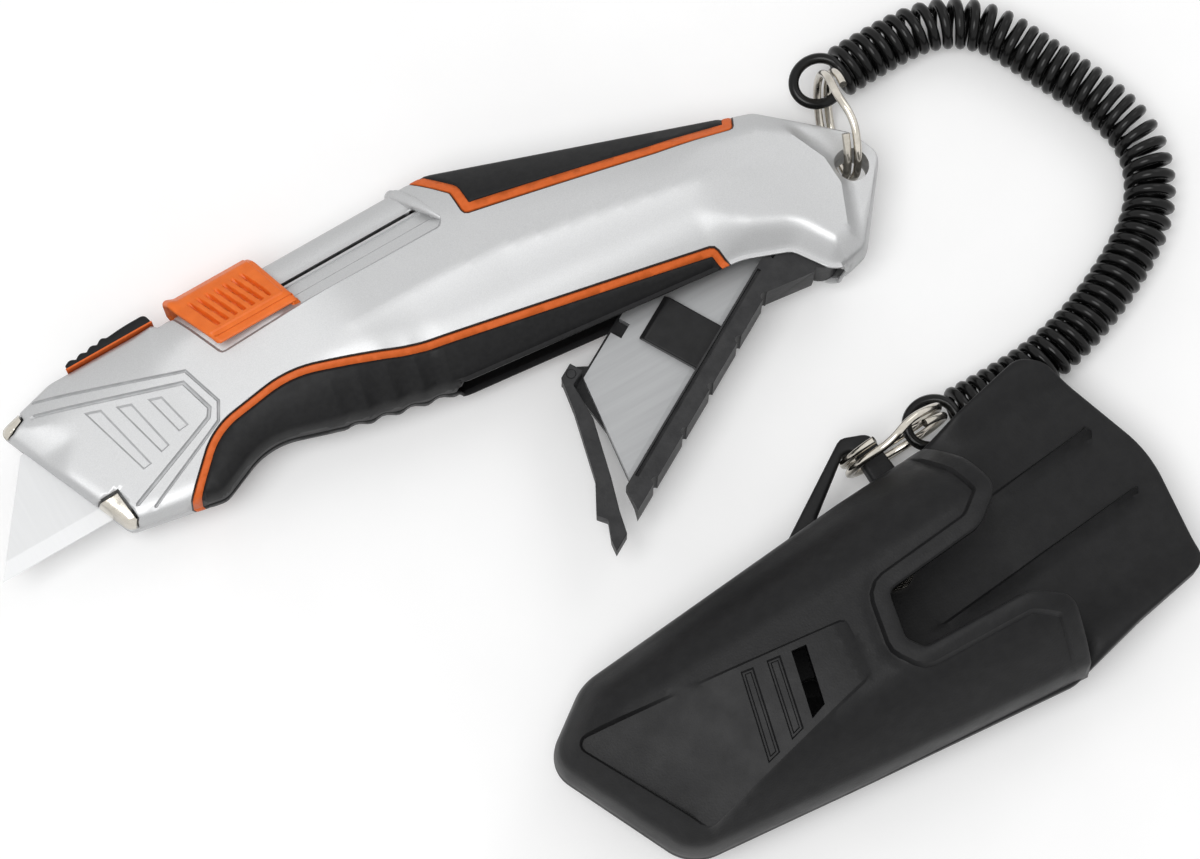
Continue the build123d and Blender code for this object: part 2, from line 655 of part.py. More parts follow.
def biarc_edges(samples):
    """Two tangent arcs between each pair of samples, each sample (place, heading)."""
    edges = []
    for (start, leave), (end, arrive) in zip(samples, samples[1:]):
        span, both = end - start, leave + arrive
        spread = 2 * (1 - leave.dot(arrive))
        along = span.dot(both)
        if spread > 1e-9:
            reach = (math.sqrt(along * along + spread * span.dot(span)) - along) / spread
        else:
            reach = span.dot(span) / (4 * span.dot(arrive))
        first, last = start + leave * reach, end - arrive * reach
        middle = (first + last) * 0.5
        turned = (last - first).normalized()
        straight = leave.dot(turned) > 1 - 1e-9 and arrive.dot(turned) > 1 - 1e-9
        if straight:
            edges.append(Edge.make_line(start, end))
        else:
            edges.append(Edge.make_tangent_arc(start, leave, middle))
            edges.append(Edge.make_tangent_arc(middle, turned, end))
    return edges


def tube(samples, diameter):
    """One unbroken round tube through the samples."""
    start, heading = samples[0]
    section = Plane(origin=start, z_dir=heading) * Circle(diameter / 2)
    return solid_of(sweep(section, path=Wire(biarc_edges(samples))))


def tangent_route(points):
    """Straight runs and the largest tangent arcs between them, as (start, heading, length, bend)."""
    pieces, bends = [], []
    place = Vector(*points[0])
    for before, corner, after in zip(points, points[1:], points[2:]):
        run_in, run_out = Vector(*corner) - Vector(*before), Vector(*after) - Vector(*corner)
        heading = math.atan2(run_in.Y, run_in.X)
        turn = math.remainder(math.atan2(run_out.Y, run_out.X) - heading, 2 * math.pi)
        cut = 0.45 * min(run_in.length, run_out.length)
        radius = cut / math.tan(abs(turn) / 2)
        bends.append(radius)
        entry = Vector(*corner) - run_in.normalized() * cut
        pieces.append((place, heading, (entry - place).length, 0.0))
        pieces.append((entry, heading, radius * abs(turn), turn / (radius * abs(turn))))
        place = Vector(*corner) + run_out.normalized() * cut
    last = Vector(*points[-1]) - place
    pieces.append((place, math.atan2(last.Y, last.X), last.length, 0.0))
    return pieces, bends


def on_route(pieces, distance):
    """Place, heading angle and bend at a distance along the route."""
    for start, heading, length, bend in pieces:
        if distance <= length or (start, heading, length, bend) == pieces[-1]:
            break
        distance -= length
    if bend == 0.0:
        ahead = Vector(math.cos(heading), math.sin(heading))
        return start + ahead * distance, heading, 0.0
    turned = heading + bend * distance
    across = Vector(math.sin(turned) - math.sin(heading), math.cos(heading) - math.cos(turned))
    return start + across * (1 / bend), turned, bend


END_LOOP = (
    (3.3, 3.5, -0.1, 0), (9.6, 1.0, -0.9, 90), (5.8, -4.0, -1.7, 180), (3.2, -4.0, -1.9, 180),
)


def end_loop(axis_end, outward, sideways):
    """The open eye at a coil's end, in the order in which the wire leaves the coil."""
    samples = []
    for out, side, rise, turn in END_LOOP:
        spot = axis_end + outward * out + sideways * side + Vector(0, 0, COIL_RADIUS + rise)
        angle = math.radians(turn)
        samples.append((spot, outward * math.cos(angle) - sideways * math.sin(angle)))
    return samples


def coil_samples(quarters=4):
    """Places and headings along the lanyard, from the knife's ring to the holster's."""
    pieces, bends = tangent_route(COIL_ROUTE)
    length = sum(piece[2] for piece in pieces)
    fine = CURL_STEPS

    def pitch(distance):
        total = 0.0
        steps = 11
        for step in range(steps):
            near = min(max(distance + PITCH_EASE * (2 * step / (steps - 1) - 1), 0.0), length)
            total += abs(on_route(pieces, near)[2])
        return (CORD_WIRE + CORD_GAP) / (1 - COIL_RADIUS * total / steps)

    travelled = [0.0]
    while travelled[-1] < length:
        travelled.append(travelled[-1] + pitch(travelled[-1]) / fine)
    turns = int((len(travelled) - 1) / fine)
    stretch = length / travelled[turns * fine]

    def spot(step):
        low = min(max(int(math.floor(step)), 0), len(travelled) - 2)
        distance = travelled[low] + (step - low) * (travelled[low + 1] - travelled[low])
        centre, heading, _ = on_route(pieces, distance * stretch)
        angle = math.pi / 2 + 2 * math.pi * step / fine
        sideways = Vector(-math.sin(heading), math.cos(heading))
        wheel = sideways * math.cos(angle) + Vector(0, 0, 1) * math.sin(angle)
        return centre + Vector(0, 0, COIL_Z) + wheel * COIL_RADIUS

    curls = []
    for quarter in range(turns * quarters + 1):
        step = quarter * fine / quarters
        ahead = (spot(step + 0.02) - spot(step - 0.02)).normalized()
        curls.append((spot(step), ahead))
    ends = []
    for distance, away, lift in ((0.0, -1, KNIFE_RING_LIFT), (length, 1, 0.0)):
        centre, heading, _ = on_route(pieces, distance)
        outward = Vector(math.cos(heading), math.sin(heading)) * away
        sideways = Vector(-math.sin(heading), math.cos(heading)) * -away
        ends.append(end_loop(centre + Vector(0, 0, COIL_Z + lift), outward, sideways))
    opening = [(place, heading * -1) for place, heading in reversed(ends[0])]
    return opening + curls + ends[1], turns, bends


def self_gap(samples, diameter):
    """Least clear distance between parts of the tube that lie more than a few wires apart."""
    points, travelled = [], [0.0]
    for edge in biarc_edges(samples):
        count = max(3, int(edge.length / 0.25))
        points += [edge.position_at(index / count) for index in range(count)]
    for before, after in zip(points, points[1:]):
        travelled.append(travelled[-1] + (after - before).length)
    cell = 2 * diameter
    grid = {}
    for index, point in enumerate(points):
        key = tuple(int(value // cell) for value in (point.X, point.Y, point.Z))
        grid.setdefault(key, []).append(index)
    least = cell
    for (i, j, k), members in grid.items():
        near = [
            other
            for a in (i - 1, i, i + 1) for b in (j - 1, j, j + 1) for c in (k - 1, k, k + 1)
            for other in grid.get((a, b, c), ())
        ]
        for one in members:
            for other in near:
                if travelled[other] - travelled[one] > 4 * diameter:
                    least = min(least, (points[one] - points[other]).length)
    return least - diameter


def lanyard_coil():
    """The coiled lanyard with an open eye at each end."""
    samples, turns, bends = coil_samples()
    coil = tube(samples, CORD_WIRE)
    path = sum(edge.length for edge in biarc_edges(samples))
    print("route radii", [round(bend, 1) for bend in bends])
    print("curls", turns, "wire length", round(path, 1))
    print("volume over section times length", round(coil.volume / (path * math.pi * CORD_WIRE**2 / 4), 4))
    print("least gap to itself", round(self_gap(samples, CORD_WIRE), 3))
    return coil


def split_ring(centre, normal):
    """A split ring of two flat turns that cross over near its top."""
    normal = Vector(*normal).normalized()
    third = normal.cross(Vector(0, 0, 1)).normalized()
    across = third.cross(normal)
    level = (RING_WIRE + RING_TURN_GAP) / 2
    first_turn = [(RING_SPLIT + step * (330 - RING_SPLIT) / 4, -level) for step in range(5)]
    second_turn = [(390 + step * (330 - RING_SPLIT) / 4, level) for step in range(5)]
    samples = []
    for degrees, rise in first_turn + second_turn:
        angle = math.radians(degrees)
        spot = (across * math.cos(angle) + third * math.sin(angle)) * RING_RADIUS
        ahead = third * math.cos(angle) - across * math.sin(angle)
        samples.append((Vector(*centre) + spot + normal * rise, ahead))
    return tube(samples, RING_WIRE)


def knife_ring():
    """The ring through the tail hole, standing on the table and leaning a little."""
    normal = (
        math.sin(RING_HEADING) * math.cos(RING_LEAN), -math.cos(RING_HEADING) * math.cos(RING_LEAN),
        -math.sin(RING_LEAN),
    )
    return split_ring((KNIFE_RING_X, KNIFE_RING_Y, KNIFE_RING_Z), normal)


def holster_ring():
    """The ring through the holster's eye, leaning on the holster."""
    normal = (0, math.cos(RING_LEAN), math.sin(RING_LEAN))
    return split_ring((HOLSTER_RING_X, HOLSTER_RING_Y, RING_Z), normal)


HOLSTER_CORNERS = (
    (HOLSTER_MOUTH_X + 12, -65.6, 0), (30.0, -66.8, 40.0), (-26.0, -71.4, 10.0),
    (HOLSTER_TIP_X, -80.5, 6.0), (-25.5, -108.7, 9.0), (10.0, -112.4, 40.0),
    (HOLSTER_MOUTH_X + 12, -116.8, 0),
)


def holster_block(inset=0.0):
    """The holster's pocket as a solid block, its outside set in by a depth, long at the mouth."""
    outline = rounded(HOLSTER_CORNERS)
    eaves = flat([corner[:2] for corner in HOLSTER_CORNERS])
    if inset:
        outline = offset(outline, -inset)
        eaves = offset(eaves, -inset, kind=Kind.INTERSECTION)
    low = HOLSTER_BACK_Z + inset
    edge = HOLSTER_EDGE_Z - 0.3 * inset
    wall = prism(outline, low, HOLSTER_MOUTH_TOP + 5)
    roof = prism(eaves, low, edge)
    roof += extrude(Pos(0, 0, edge) * eaves, 22, taper=HOLSTER_SLOPE)
    rise = (HOLSTER_MOUTH_TOP - HOLSTER_TIP_TOP) / (HOLSTER_MOUTH_X - HOLSTER_TIP_X)
    front = along_y((
        (HOLSTER_TIP_X - 2, 0), (HOLSTER_TIP_X - 2, HOLSTER_TIP_TOP - 2 * rise - inset),
        (HOLSTER_MOUTH_X + 20, HOLSTER_MOUTH_TOP + 20 * rise - inset), (HOLSTER_MOUTH_X + 20, 0),
    ))
    return wall & roof & front


SLOT_CORNERS = (
    (70.0, -83.0, 0), (51.0, -83.6, 4.0), (46.0, -86.6, 3.0), (26.6, -88.0, 3.0), (24.2, -96.4, 3.0),
    (26.4, -99.6, 3.0), (48.0, -100.2, 3.0), (52.0, -102.6, 4.0), (70.0, -103.2, 0),
)
MOUTH_CORNERS = (
    (52.8, -119.0), (53.6, -105.0), (53.2, -90.0), (51.0, -74.0), (46.0, -60.0), (90.0, -60.0),
    (90.0, -122.0), (52.8, -122.0),
)
BACK_CORNERS = (
    (48.0, -65.8, 0), (60.0, -63.0, 20.0), (73.0, -60.2, 4.0), (77.0, -63.4, 6.0), (84.6, -87.0, 24.0),
    (81.8, -109.6, 4.0), (66.0, -112.4, 20.0), (48.0, -117.0, 0),
)
EYE_CORNERS = (
    (15.0, -70.5, 0), (37.8, -56.2, 2.0), (43.0, -58.2, 2.5), (44.0, -70.5, 0),
)
EYE_OPENING = (
    (22.0, -68.2, 0.8), (36.6, -58.4, 1.0), (EYE_INNER_X, -58.9, 0.8), (EYE_INNER_X, -68.2, 0.8),
)
PANEL_CORNERS = (
    (-33.5, -81.0, 1.5), (17.6, -88.0, 1.0), (16.6, -98.6, 1.0), (-20.4, -106.6, 1.5),
)
PANEL_BARS = (
    ((-2.5, -86.6), (-0.4, -87.0), (-3.9, -101.6), (-6.3, -102.1)),
    ((2.3, -87.3), (4.6, -87.7), (1.6, -100.3), (-0.9, -100.9)),
)
PANEL_SLOT = ((6.7, -88.0), (9.5, -88.4), (6.9, -98.8), (3.8, -99.8))
BACK_WINDOW = ((6.0, -90.4, 1.0), (11.0, -91.0, 1.0), (11.0, -97.4, 1.0), (6.0, -97.4, 1.0))
BACK_RIDGES = (
    ((56.6, -79.6), (76.0, -78.6), (76.0, -77.4)), ((44.0, -94.4), (78.0, -92.6), (78.0, -91.0)),
)


def holster_shell():
    """The moulded holster: pocket, back flap, mouth lip, lanyard eye and its raised panel."""
    outer, inner, proud = holster_block(), holster_block(HOLSTER_WALL), holster_block(-LIP_PROUD)
    mouth = prism(flat(MOUTH_CORNERS), HOLSTER_BACK_Z + HOLSTER_WALL, FAR)
    slot = prism(rounded(SLOT_CORNERS), LIP_LOW_Z, FAR)
    lip_area = offset(rounded(SLOT_CORNERS), LIP_WIDTH) + offset(flat(MOUTH_CORNERS), LIP_WIDTH)
    lip = (proud - inner) & prism(lip_area, LIP_LOW_Z, FAR)
    panel = (holster_block(-PANEL_PROUD) - inner) & prism(rounded(PANEL_CORNERS), HOLSTER_EDGE_Z, FAR)
    shell = (outer - inner) + lip + panel
    shell -= mouth
    shell -= slot
    for bar in PANEL_BARS:
        shell -= prism(flat(bar), 0, FAR) & (holster_block(-PANEL_PROUD - 1) - outer)
    shell -= prism(flat(PANEL_SLOT), HOLSTER_EDGE_Z, FAR)
    shell -= prism(rounded(BACK_WINDOW), 0, HOLSTER_EDGE_Z)
    low, high = HOLSTER_BACK_Z, HOLSTER_BACK_Z + HOLSTER_WALL
    behind = HOLSTER_MOUTH_X - 0.5
    shell -= prism(flat(((behind, -140), (120, -140), (120, 0), (behind, 0))), 0, high)
    shell += prism(rounded(BACK_CORNERS), low, high)
    eye = prism(rounded(EYE_CORNERS), low, low + EYE_THICKNESS) - prism(rounded(EYE_OPENING), 0, FAR)
    shell += eye - inner
    for ridge in BACK_RIDGES:
        shell += prism(flat(ridge), low, high + RIDGE_HEIGHT)
    for x, y in RIVET_PLACES:
        shell -= Pos(x, y, low) * Cylinder(RIVET_RADIUS + FIT, 4 * HOLSTER_WALL)
    return solid_of(shell)


def belt_clip():
    """The sheet clip on the holster's back: a foot under the back wall and a long tongue."""
    sheet, rear, front = BELT_CLIP_SHEET, BELT_CLIP_REAR_X, BELT_CLIP_FRONT_X
    bend, crook, start = BELT_CLIP_BEND, BELT_CLIP_INNER_BEND, BELT_CLIP_FOOT_X
    top, foot, back = HOLSTER_BACK_Z, HOLSTER_BACK_Z - sheet, rear - sheet
    side = (
        (start, top), (rear - bend, top), (rear, top - bend), (rear, bend), (rear - bend, 0.0), (front, 0.0),
        (front - TONGUE_TIP, TONGUE_LIFT), (front - TONGUE_TIP, TONGUE_LIFT + sheet), (front + 0.6, sheet),
        (back - crook, sheet), (back, sheet + crook), (back, foot - crook), (back - crook, foot),
        (start, foot),
    )
    width = ((-FAR, CLIP_RIGHT_Y), (FAR, CLIP_RIGHT_Y), (FAR, CLIP_LEFT_Y), (-FAR, CLIP_LEFT_Y))
    clip = along_y(side) & prism(flat(width), -1, FAR)
    for x, y in RIVET_PLACES:
        clip -= Pos(x, y, foot + sheet) * Cylinder(RIVET_RADIUS + FIT, 3 * sheet)
    return solid_of(clip)


def clip_rivets():
    """The rivets through the clip's foot and the holster's back wall."""
    foot = HOLSTER_BACK_Z - BELT_CLIP_SHEET
    inside = HOLSTER_BACK_Z + HOLSTER_WALL
    rivets = []
    for x, y in RIVET_PLACES:
        shank = Pos(x, y, (foot + inside) / 2) * Cylinder(RIVET_RADIUS, inside - foot)
        head = Pos(x, y, foot - RIVET_HEAD_HEIGHT / 2) * Cylinder(RIVET_HEAD_RADIUS, RIVET_HEAD_HEIGHT)
        set_head = Pos(x, y, inside + RIVET_HEAD_HEIGHT / 2) * Cylinder(RIVET_HEAD_RADIUS, RIVET_HEAD_HEIGHT)
        rivets.append(solid_of(shank + head + set_head))
    return Compound(rivets)


def all_nodes():
    """Every piece of the set by its node name."""
    nodes = knife_halves()
    nodes["nose_pad_border"], nodes["nose_pad"] = nose_pads()
    for make in (
        body_screws, blade, slider_button, blade_carrier, detent_spring, drawer_tray, blade_clip,
        spare_blades, latch_arm, hinge_pin, knife_ring, holster_ring, lanyard_coil, holster_shell,
        belt_clip, clip_rivets,
    ):
        nodes[make.__name__] = make()
    return nodes


for node, shape in all_nodes().items():
    export_step(shape, f"parts/{node}.step")
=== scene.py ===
import json
import math

import bmesh
import bpy
import numpy as np
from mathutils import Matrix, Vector, geometry
from numpy.linalg import norm


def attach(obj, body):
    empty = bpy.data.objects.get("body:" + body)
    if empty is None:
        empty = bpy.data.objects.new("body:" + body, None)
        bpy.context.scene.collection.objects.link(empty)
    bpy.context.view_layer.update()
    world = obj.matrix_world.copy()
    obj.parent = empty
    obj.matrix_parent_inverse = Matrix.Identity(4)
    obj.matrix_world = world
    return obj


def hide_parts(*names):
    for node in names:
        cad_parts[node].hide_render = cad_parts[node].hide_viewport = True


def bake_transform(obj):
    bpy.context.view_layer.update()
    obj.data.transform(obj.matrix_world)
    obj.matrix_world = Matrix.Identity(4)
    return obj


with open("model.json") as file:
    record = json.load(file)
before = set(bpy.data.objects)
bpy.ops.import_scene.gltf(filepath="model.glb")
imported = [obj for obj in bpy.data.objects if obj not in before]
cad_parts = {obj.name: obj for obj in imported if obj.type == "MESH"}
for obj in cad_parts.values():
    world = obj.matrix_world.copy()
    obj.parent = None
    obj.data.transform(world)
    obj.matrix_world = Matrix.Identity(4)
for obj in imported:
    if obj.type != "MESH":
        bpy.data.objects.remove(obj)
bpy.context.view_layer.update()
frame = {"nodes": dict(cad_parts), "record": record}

# Utility knife with coiled lanyard and holster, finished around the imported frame.
# Shapes are written in millimetres and scaled to metres when a mesh is made.
MM = 0.001
TINY = 1e-12
FAR = 1e9
NODES = frame["nodes"]
RECORD = frame["record"]
BODY_OF = {node: body for body, nodes in RECORD["behaviour"]["bodies"].items() for node in nodes}

# Knife body
MID_Z = 11.0
EDGE_HEIGHT = 4.5
EDGE_ROUND = 1.0
EDGE_SLOPE = 0.95
NOSE_EDGE_DROP = 1.9
NOSE_SLOPE_DROP = 0.45
SPINE_Y = 25.6
NOSE_SPINE_Y = 26.6
TRACK_FRONT_X = -57.5
BAY_HALF = 5.0
BAY_START = (-17.0, -15.5)
BAY_END = (55.0, 56.0)
BAY_TOP_Y = -4.0
BLADE_WAY_HALF = 0.62
BLADE_WAY_CORNER = (-79.5, 19.0)
BELLY_BORDER = 1.45
TOP_BORDER = 1.85
SHELL = 0.6
SHARP = math.radians(27)
BODY_CORNERS = (
    (-92.2, 23.2, 1.5), (-80.6, -4.8, 2.0), (-62.5, -8.4, 4.0), (-51.0, -3.4, 14.0),
    (-35.0, -8.6, 12.0), (-16.0, -12.8, 30.0), (40.0, -19.0, 12.0), (48.6, -22.3, 3.0),
    (54.0, -30.4, 5.0), (61.0, -28.8, 3.5), (73.0, -14.0, 3.5), (70.6, -7.8, 3.5),
    (56.8, 4.8, 4.0), (-2.0, SPINE_Y, 12.0), (TRACK_FRONT_X, SPINE_Y, 0.3),
    (TRACK_FRONT_X - 1.0, NOSE_SPINE_Y, 0.3), (-80.0, NOSE_SPINE_Y, 6.0),
)
CROWN = ((-96, 4.1), (-60, 5.8), (-54, 6.5), (-34, 10.2), (-27, 11.0), (40, 11.0), (47, 10.2), (73, 5.6))
BELLY_LINE = (
    (-70.2, -20.0, 0), (-69.6, -8.0, 2.0), (-58.5, 2.8, 14.0), (-42.0, 4.6, 22.0),
    (-20.0, -3.6, 40.0), (36.5, -14.8, 1.5), (38.6, -24.0, 0), (38.6, -45.0, 0), (-70.2, -45.0, 0),
)
TOP_LINE = (
    (-6.0, 26.4, 0), (0.2, 18.4, 1.0), (0.2, 13.2, 1.0), (51.0, 2.6, 1.0), (54.2, 8.4, 0),
    (54.2, 45.0, 0), (-6.0, 45.0, 0),
)
POCKET_LINE = (
    (-57.4, 31.0, 0), (-50.4, 13.6, 1.2), (-4.6, 13.2, 1.2), (-3.6, 15.0, 0.8), (-8.8, 25.0, 1.0),
    (-9.6, 31.0, 0),
)
TRACK_LIP = ((-3.4, 14.4), (-8.3, 24.6))
TRACK_LIP_RADII = (0.5, 1.25)
RIDGE_LINE = (
    (-40.0, 5.6), (-27.5, 5.5), (-12.0, 5.2), (2.3, 4.1), (24.1, 0.0), (45.6, -4.5), (60.0, -7.4),
)
TAIL_CREASE = ((50.0, 14.0), (57.0, 2.4), (62.6, -10.6), (62.7, -16.3), (57.0, -29.2), (54.0, -36.0))
NOSE_FRAME = (
    ((-84.0, 24.4), (-57.6, 14.6), (-55.2, 6.6), (-57.0, 3.4), (-74.5, -4.4)),
    ((-85.0, 21.8), (-59.0, 12.9), (-57.2, 6.4), (-58.2, 4.9), (-77.0, -2.4)),
)
NOSE_BARS = (
    ((-77.0, 17.3), (-74.2, 16.3), (-71.2, 2.9), (-72.9, 2.7)),
    ((-71.5, 15.3), (-68.9, 14.4), (-66.8, 4.2), (-68.6, 3.8)),
    ((-65.9, 13.5), (-63.6, 12.7), (-62.0, 5.7), (-64.0, 5.5)),
)
HOOKS = (
    ((-83.4, 1.6), (-79.0, 1.6), (-78.4, -4.4), (-80.6, -6.0), (-84.0, -6.0)),
    ((-92.6, 25.6), (-87.4, 25.6), (-87.4, 22.6), (-90.0, 21.4), (-92.6, 21.4)),
)
HOOK_GAP = 0.4
HOOK_SUNK = 0.35
HOLE = (66.8, -13.6)
HOLE_RADIUS = 3.3
PIN_PLACE = (53.5, -24.5)
PIN_RADIUS = 1.5
PIN_HALF = 5.3
SCREW_PLACES = ((-5.0, 8.0), (60.5, -3.5))
SCREW_POCKET_RADIUS = 3.1
SCREW_SEAT = 4.0
SLOT_Y = 19.4
SLOT_WIDTH = 0.75
SLOT_ENDS = (-51.4, -6.6)
SLOT_FOOT = 4.2
BODY_GRID = 1.15
TRACK_LOW_Y = 13.6
TRACK_LOW_HALF = 9.6
TRACK_TOP_HALF = 3.6
TRACK_STEP = (15.9, 16.2, 18.4, 18.6)
TRACK_STEP_DEPTH = 0.45
TRACK_STEP_LINE = (-50.5, 16.05)
TRACK_BULGE = 1.0
FINGER_START_X = -38.0
FINGER_PITCH = 5.2
FINGER_SCALLOP = 0.55
FINGER_DEPTH = 0.7
RIDGE_UPPER_SLOPE = 0.085
RIDGE_LOWER_SLOPE = 0.05
RIDGE_DROP = 0.75
RIDGE_REACH = 3.5
TAIL_CREASE_WIDTH = 2.6
TAIL_DROP = 2.2
SKIN_RISE = 0.25
SKIN_STEP = 0.5
GROOVE_EDGE = 0.12
ROUND_OFF = ((-95, 1.6), (-60, 2.4), (-45, 5.0), (36, 5.0), (44, 1.0), (75, 1.0))
ARC_STEP = 0.5
LEAST_MITRE = 0.4
RING_KEPT = 0.93
RING_CLEAR = 0.22
GRID_CLEAR = 0.4
OUTLINE_CLEAR = 0.04
ROW_RATIO = 0.866
LOOP_NEAR = 2e-6


def smooth(low, high, value):
    """0 below low, 1 above high, and an easy curve between."""
    share = np.clip((value - low) / (high - low), 0, 1)
    return share * share * (3 - 2 * share)


def soft_min(first, second, width):
    """The smaller of two heights, rounded over a width where they meet."""
    return np.minimum(first, second) - np.maximum(width - np.abs(first - second), 0) ** 2 / (4 * width)


def quarter_round(gap, width):
    """0 at an edge and 1 from a width inward, along a quarter circle."""
    return np.sqrt(1 - (1 - np.clip(gap / width, 0, 1)) ** 2)


def unit(rows):
    """Each row scaled to a length of 1."""
    return rows / np.maximum(norm(rows, axis=1), TINY)[:, None]


def turned_left(rows):
    """Each row turned a quarter to its left."""
    return np.stack((-rows[:, 1], rows[:, 0]), axis=1)


def travel(line):
    """Distance along a line at each of its points."""
    return np.concatenate(((0,), np.cumsum(norm(np.diff(line, axis=0), axis=1))))


def read_off(values, marks, line):
    """Places along a line, read at values between its marks."""
    return np.stack([np.interp(values, marks, line[:, k]) for k in range(3)], axis=1)


def outline_of(corners, step=1.0, closed=True):
    """Points along an outline whose corners are (x, y, radius)."""
    points = []
    for index, (x, y, radius) in enumerate(corners):
        corner = np.array((x, y), float)
        before = np.array(corners[index - 1][:2]) - corner
        after = np.array(corners[(index + 1) % len(corners)][:2]) - corner
        before, after = before / norm(before), after / norm(after)
        if radius == 0:
            points.append(corner)
            continue
        half = math.acos(np.clip(before @ after, -1, 1)) / 2
        centre = corner + (before + after) / norm(before + after) * radius / math.sin(half)
        start, end = (corner + way * radius / math.tan(half) - centre for way in (before, after))
        first = math.atan2(start[1], start[0])
        turn = math.remainder(math.atan2(end[1], end[0]) - first, 2 * math.pi)
        count = max(3, int(abs(turn) * radius / ARC_STEP))
        for share in np.linspace(0, 1, count):
            angle = first + turn * share
            points.append(centre + radius * np.array((math.cos(angle), math.sin(angle))))
    return divided(np.array(points), step, closed)


def divided(points, step, closed):
    """The same line with points no further apart than a step."""
    points = np.asarray(points, float)
    ends = np.roll(points, -1, axis=0) if closed else points[1:]
    result = []
    for start, end in zip(points, ends):
        count = max(1, math.ceil(norm(end - start) / step))
        result += [start + (end - start) * share / count for share in range(count)]
    if not closed:
        result.append(points[-1])
    return np.array(result)


def segments(points, line, closed=False):
    """(gap, start, run) of the points from each segment of a line."""
    ends = np.roll(line, -1, axis=0) if closed else line[1:]
    for start, end in zip(line, ends):
        run = end - start
        share = np.clip((points - start) @ run / max(run @ run, TINY), 0, 1)
        yield norm(points - start - share[:, None] * run, axis=1), start, run


def distance(points, line, closed=False):
    """Distance of each point from a line."""
    least = np.full(len(points), FAR)
    for gap, _, _ in segments(points, line, closed):
        least = np.minimum(least, gap)
    return least


def inside(points, outline):
    """Whether each point lies inside a closed outline."""
    result = np.zeros(len(points), bool)
    x, y = points[:, 0], points[:, 1]
    for (x1, y1), (x2, y2) in zip(outline, np.roll(outline, -1, axis=0)):
        if y1 == y2:
            continue
        crosses = (y1 > y) != (y2 > y)
        result ^= crosses & (x < x1 + (y - y1) * (x2 - x1) / (y2 - y1))
    return result


def parallel(line, amount, closed):
    """The line moved sideways by an amount, to its left, with mitred corners."""
    line = np.asarray(line, float)
    if closed:
        into, out = line - np.roll(line, 1, axis=0), np.roll(line, -1, axis=0) - line
    else:
        steps = np.diff(line, axis=0)
        into, out = np.vstack((steps[:1], steps)), np.vstack((steps, steps[-1:]))
    into, out = unit(into), unit(out)
    left = unit(turned_left(into + out))
    stretch = np.maximum((left * turned_left(into)).sum(axis=1), LEAST_MITRE)
    return line + left * (amount / stretch)[:, None]


def alongside(line, closed, amounts):
    """(line, closed) pairs at several distances to the left of a line."""
    return [(parallel(line, amount, closed), closed) for amount in amounts]


def anticlockwise(outline):
    """The outline, turned round if it runs clockwise."""
    x, y = outline[:, 0], outline[:, 1]
    area = (x * np.roll(y, -1) - y * np.roll(x, -1)).sum()
    return outline if area > 0 else outline[::-1]


def filling(outline, soft_edge, rings, spacing):
    """Points on rings and a grid, each group with the room that it keeps."""
    line, closed = soft_edge
    groups = []
    for depth in rings:
        ring = parallel(line, depth, closed)
        groups.append((ring[distance(ring, line, closed) > RING_KEPT * depth], RING_CLEAR))
    low, high = outline.min(axis=0), outline.max(axis=0)
    rows = np.arange(low[1], high[1], spacing * ROW_RATIO)
    grid = np.array([
        (x + (row % 2) * spacing / 2, y)
        for row, y in enumerate(rows) for x in np.arange(low[0], high[0], spacing)
    ])
    clear = GRID_CLEAR * spacing
    return groups + [(grid[distance(grid, line, closed) > rings[-1] + clear], clear)]


def triangles_over(outline, rings, lines, holes, spacing, soft_edge=None):
    """(points, triangles) over an outline, along its rings, lines and holes, with a grid between."""
    points, edges = [], []
    for line, closed in [(outline, True)] + [(hole, True) for hole in holes] + lines:
        first, count = len(points), len(line)
        points.extend(line)
        edges.extend((first + i, first + (i + 1) % count) for i in range(count if closed else count - 1))
    for group, clear in filling(outline, soft_edge or (outline, True), rings, spacing):
        free = inside(group, outline) & (distance(group, outline, True) > OUTLINE_CLEAR)
        for hole in holes:
            free &= ~inside(group, hole) & (distance(group, hole, True) > clear)
        for line, closed in lines:
            free &= distance(group, line, closed) > clear
        points.extend(group[free])
    flat = [Vector((float(x), float(y))) for x, y in points]
    result = geometry.delaunay_2d_cdt(flat, edges, [list(range(len(outline)))], 0, 1e-5)
    places, faces = np.array([tuple(p) for p in result[0]]), np.array(result[2])
    middles = places[faces].mean(axis=1)
    good = inside(middles, outline)
    for hole in holes:
        good &= ~inside(middles, hole)
    return places, faces[good]


def without_flats(flat, faces, outline):
    """The faces, less those with every corner on the outline."""
    rim = distance(flat, outline) < 0.01
    return faces[~rim[faces].all(axis=1)]


def placed(name, data):
    """A new object in the scene."""
    piece = bpy.data.objects.new(name, data)
    bpy.context.collection.objects.link(piece)
    return piece


def level(made, height):
    """Puts the new points of an extrusion at a height in millimetres."""
    for item in made["geom"]:
        if isinstance(item, bmesh.types.BMVert):
            item.co.z = height * MM


def on_loop(vertex, loop):
    """Whether a mesh point lies on a loop."""
    return np.abs(loop * MM - np.array(vertex.co[:2])).max(axis=1).min() < LOOP_NEAR


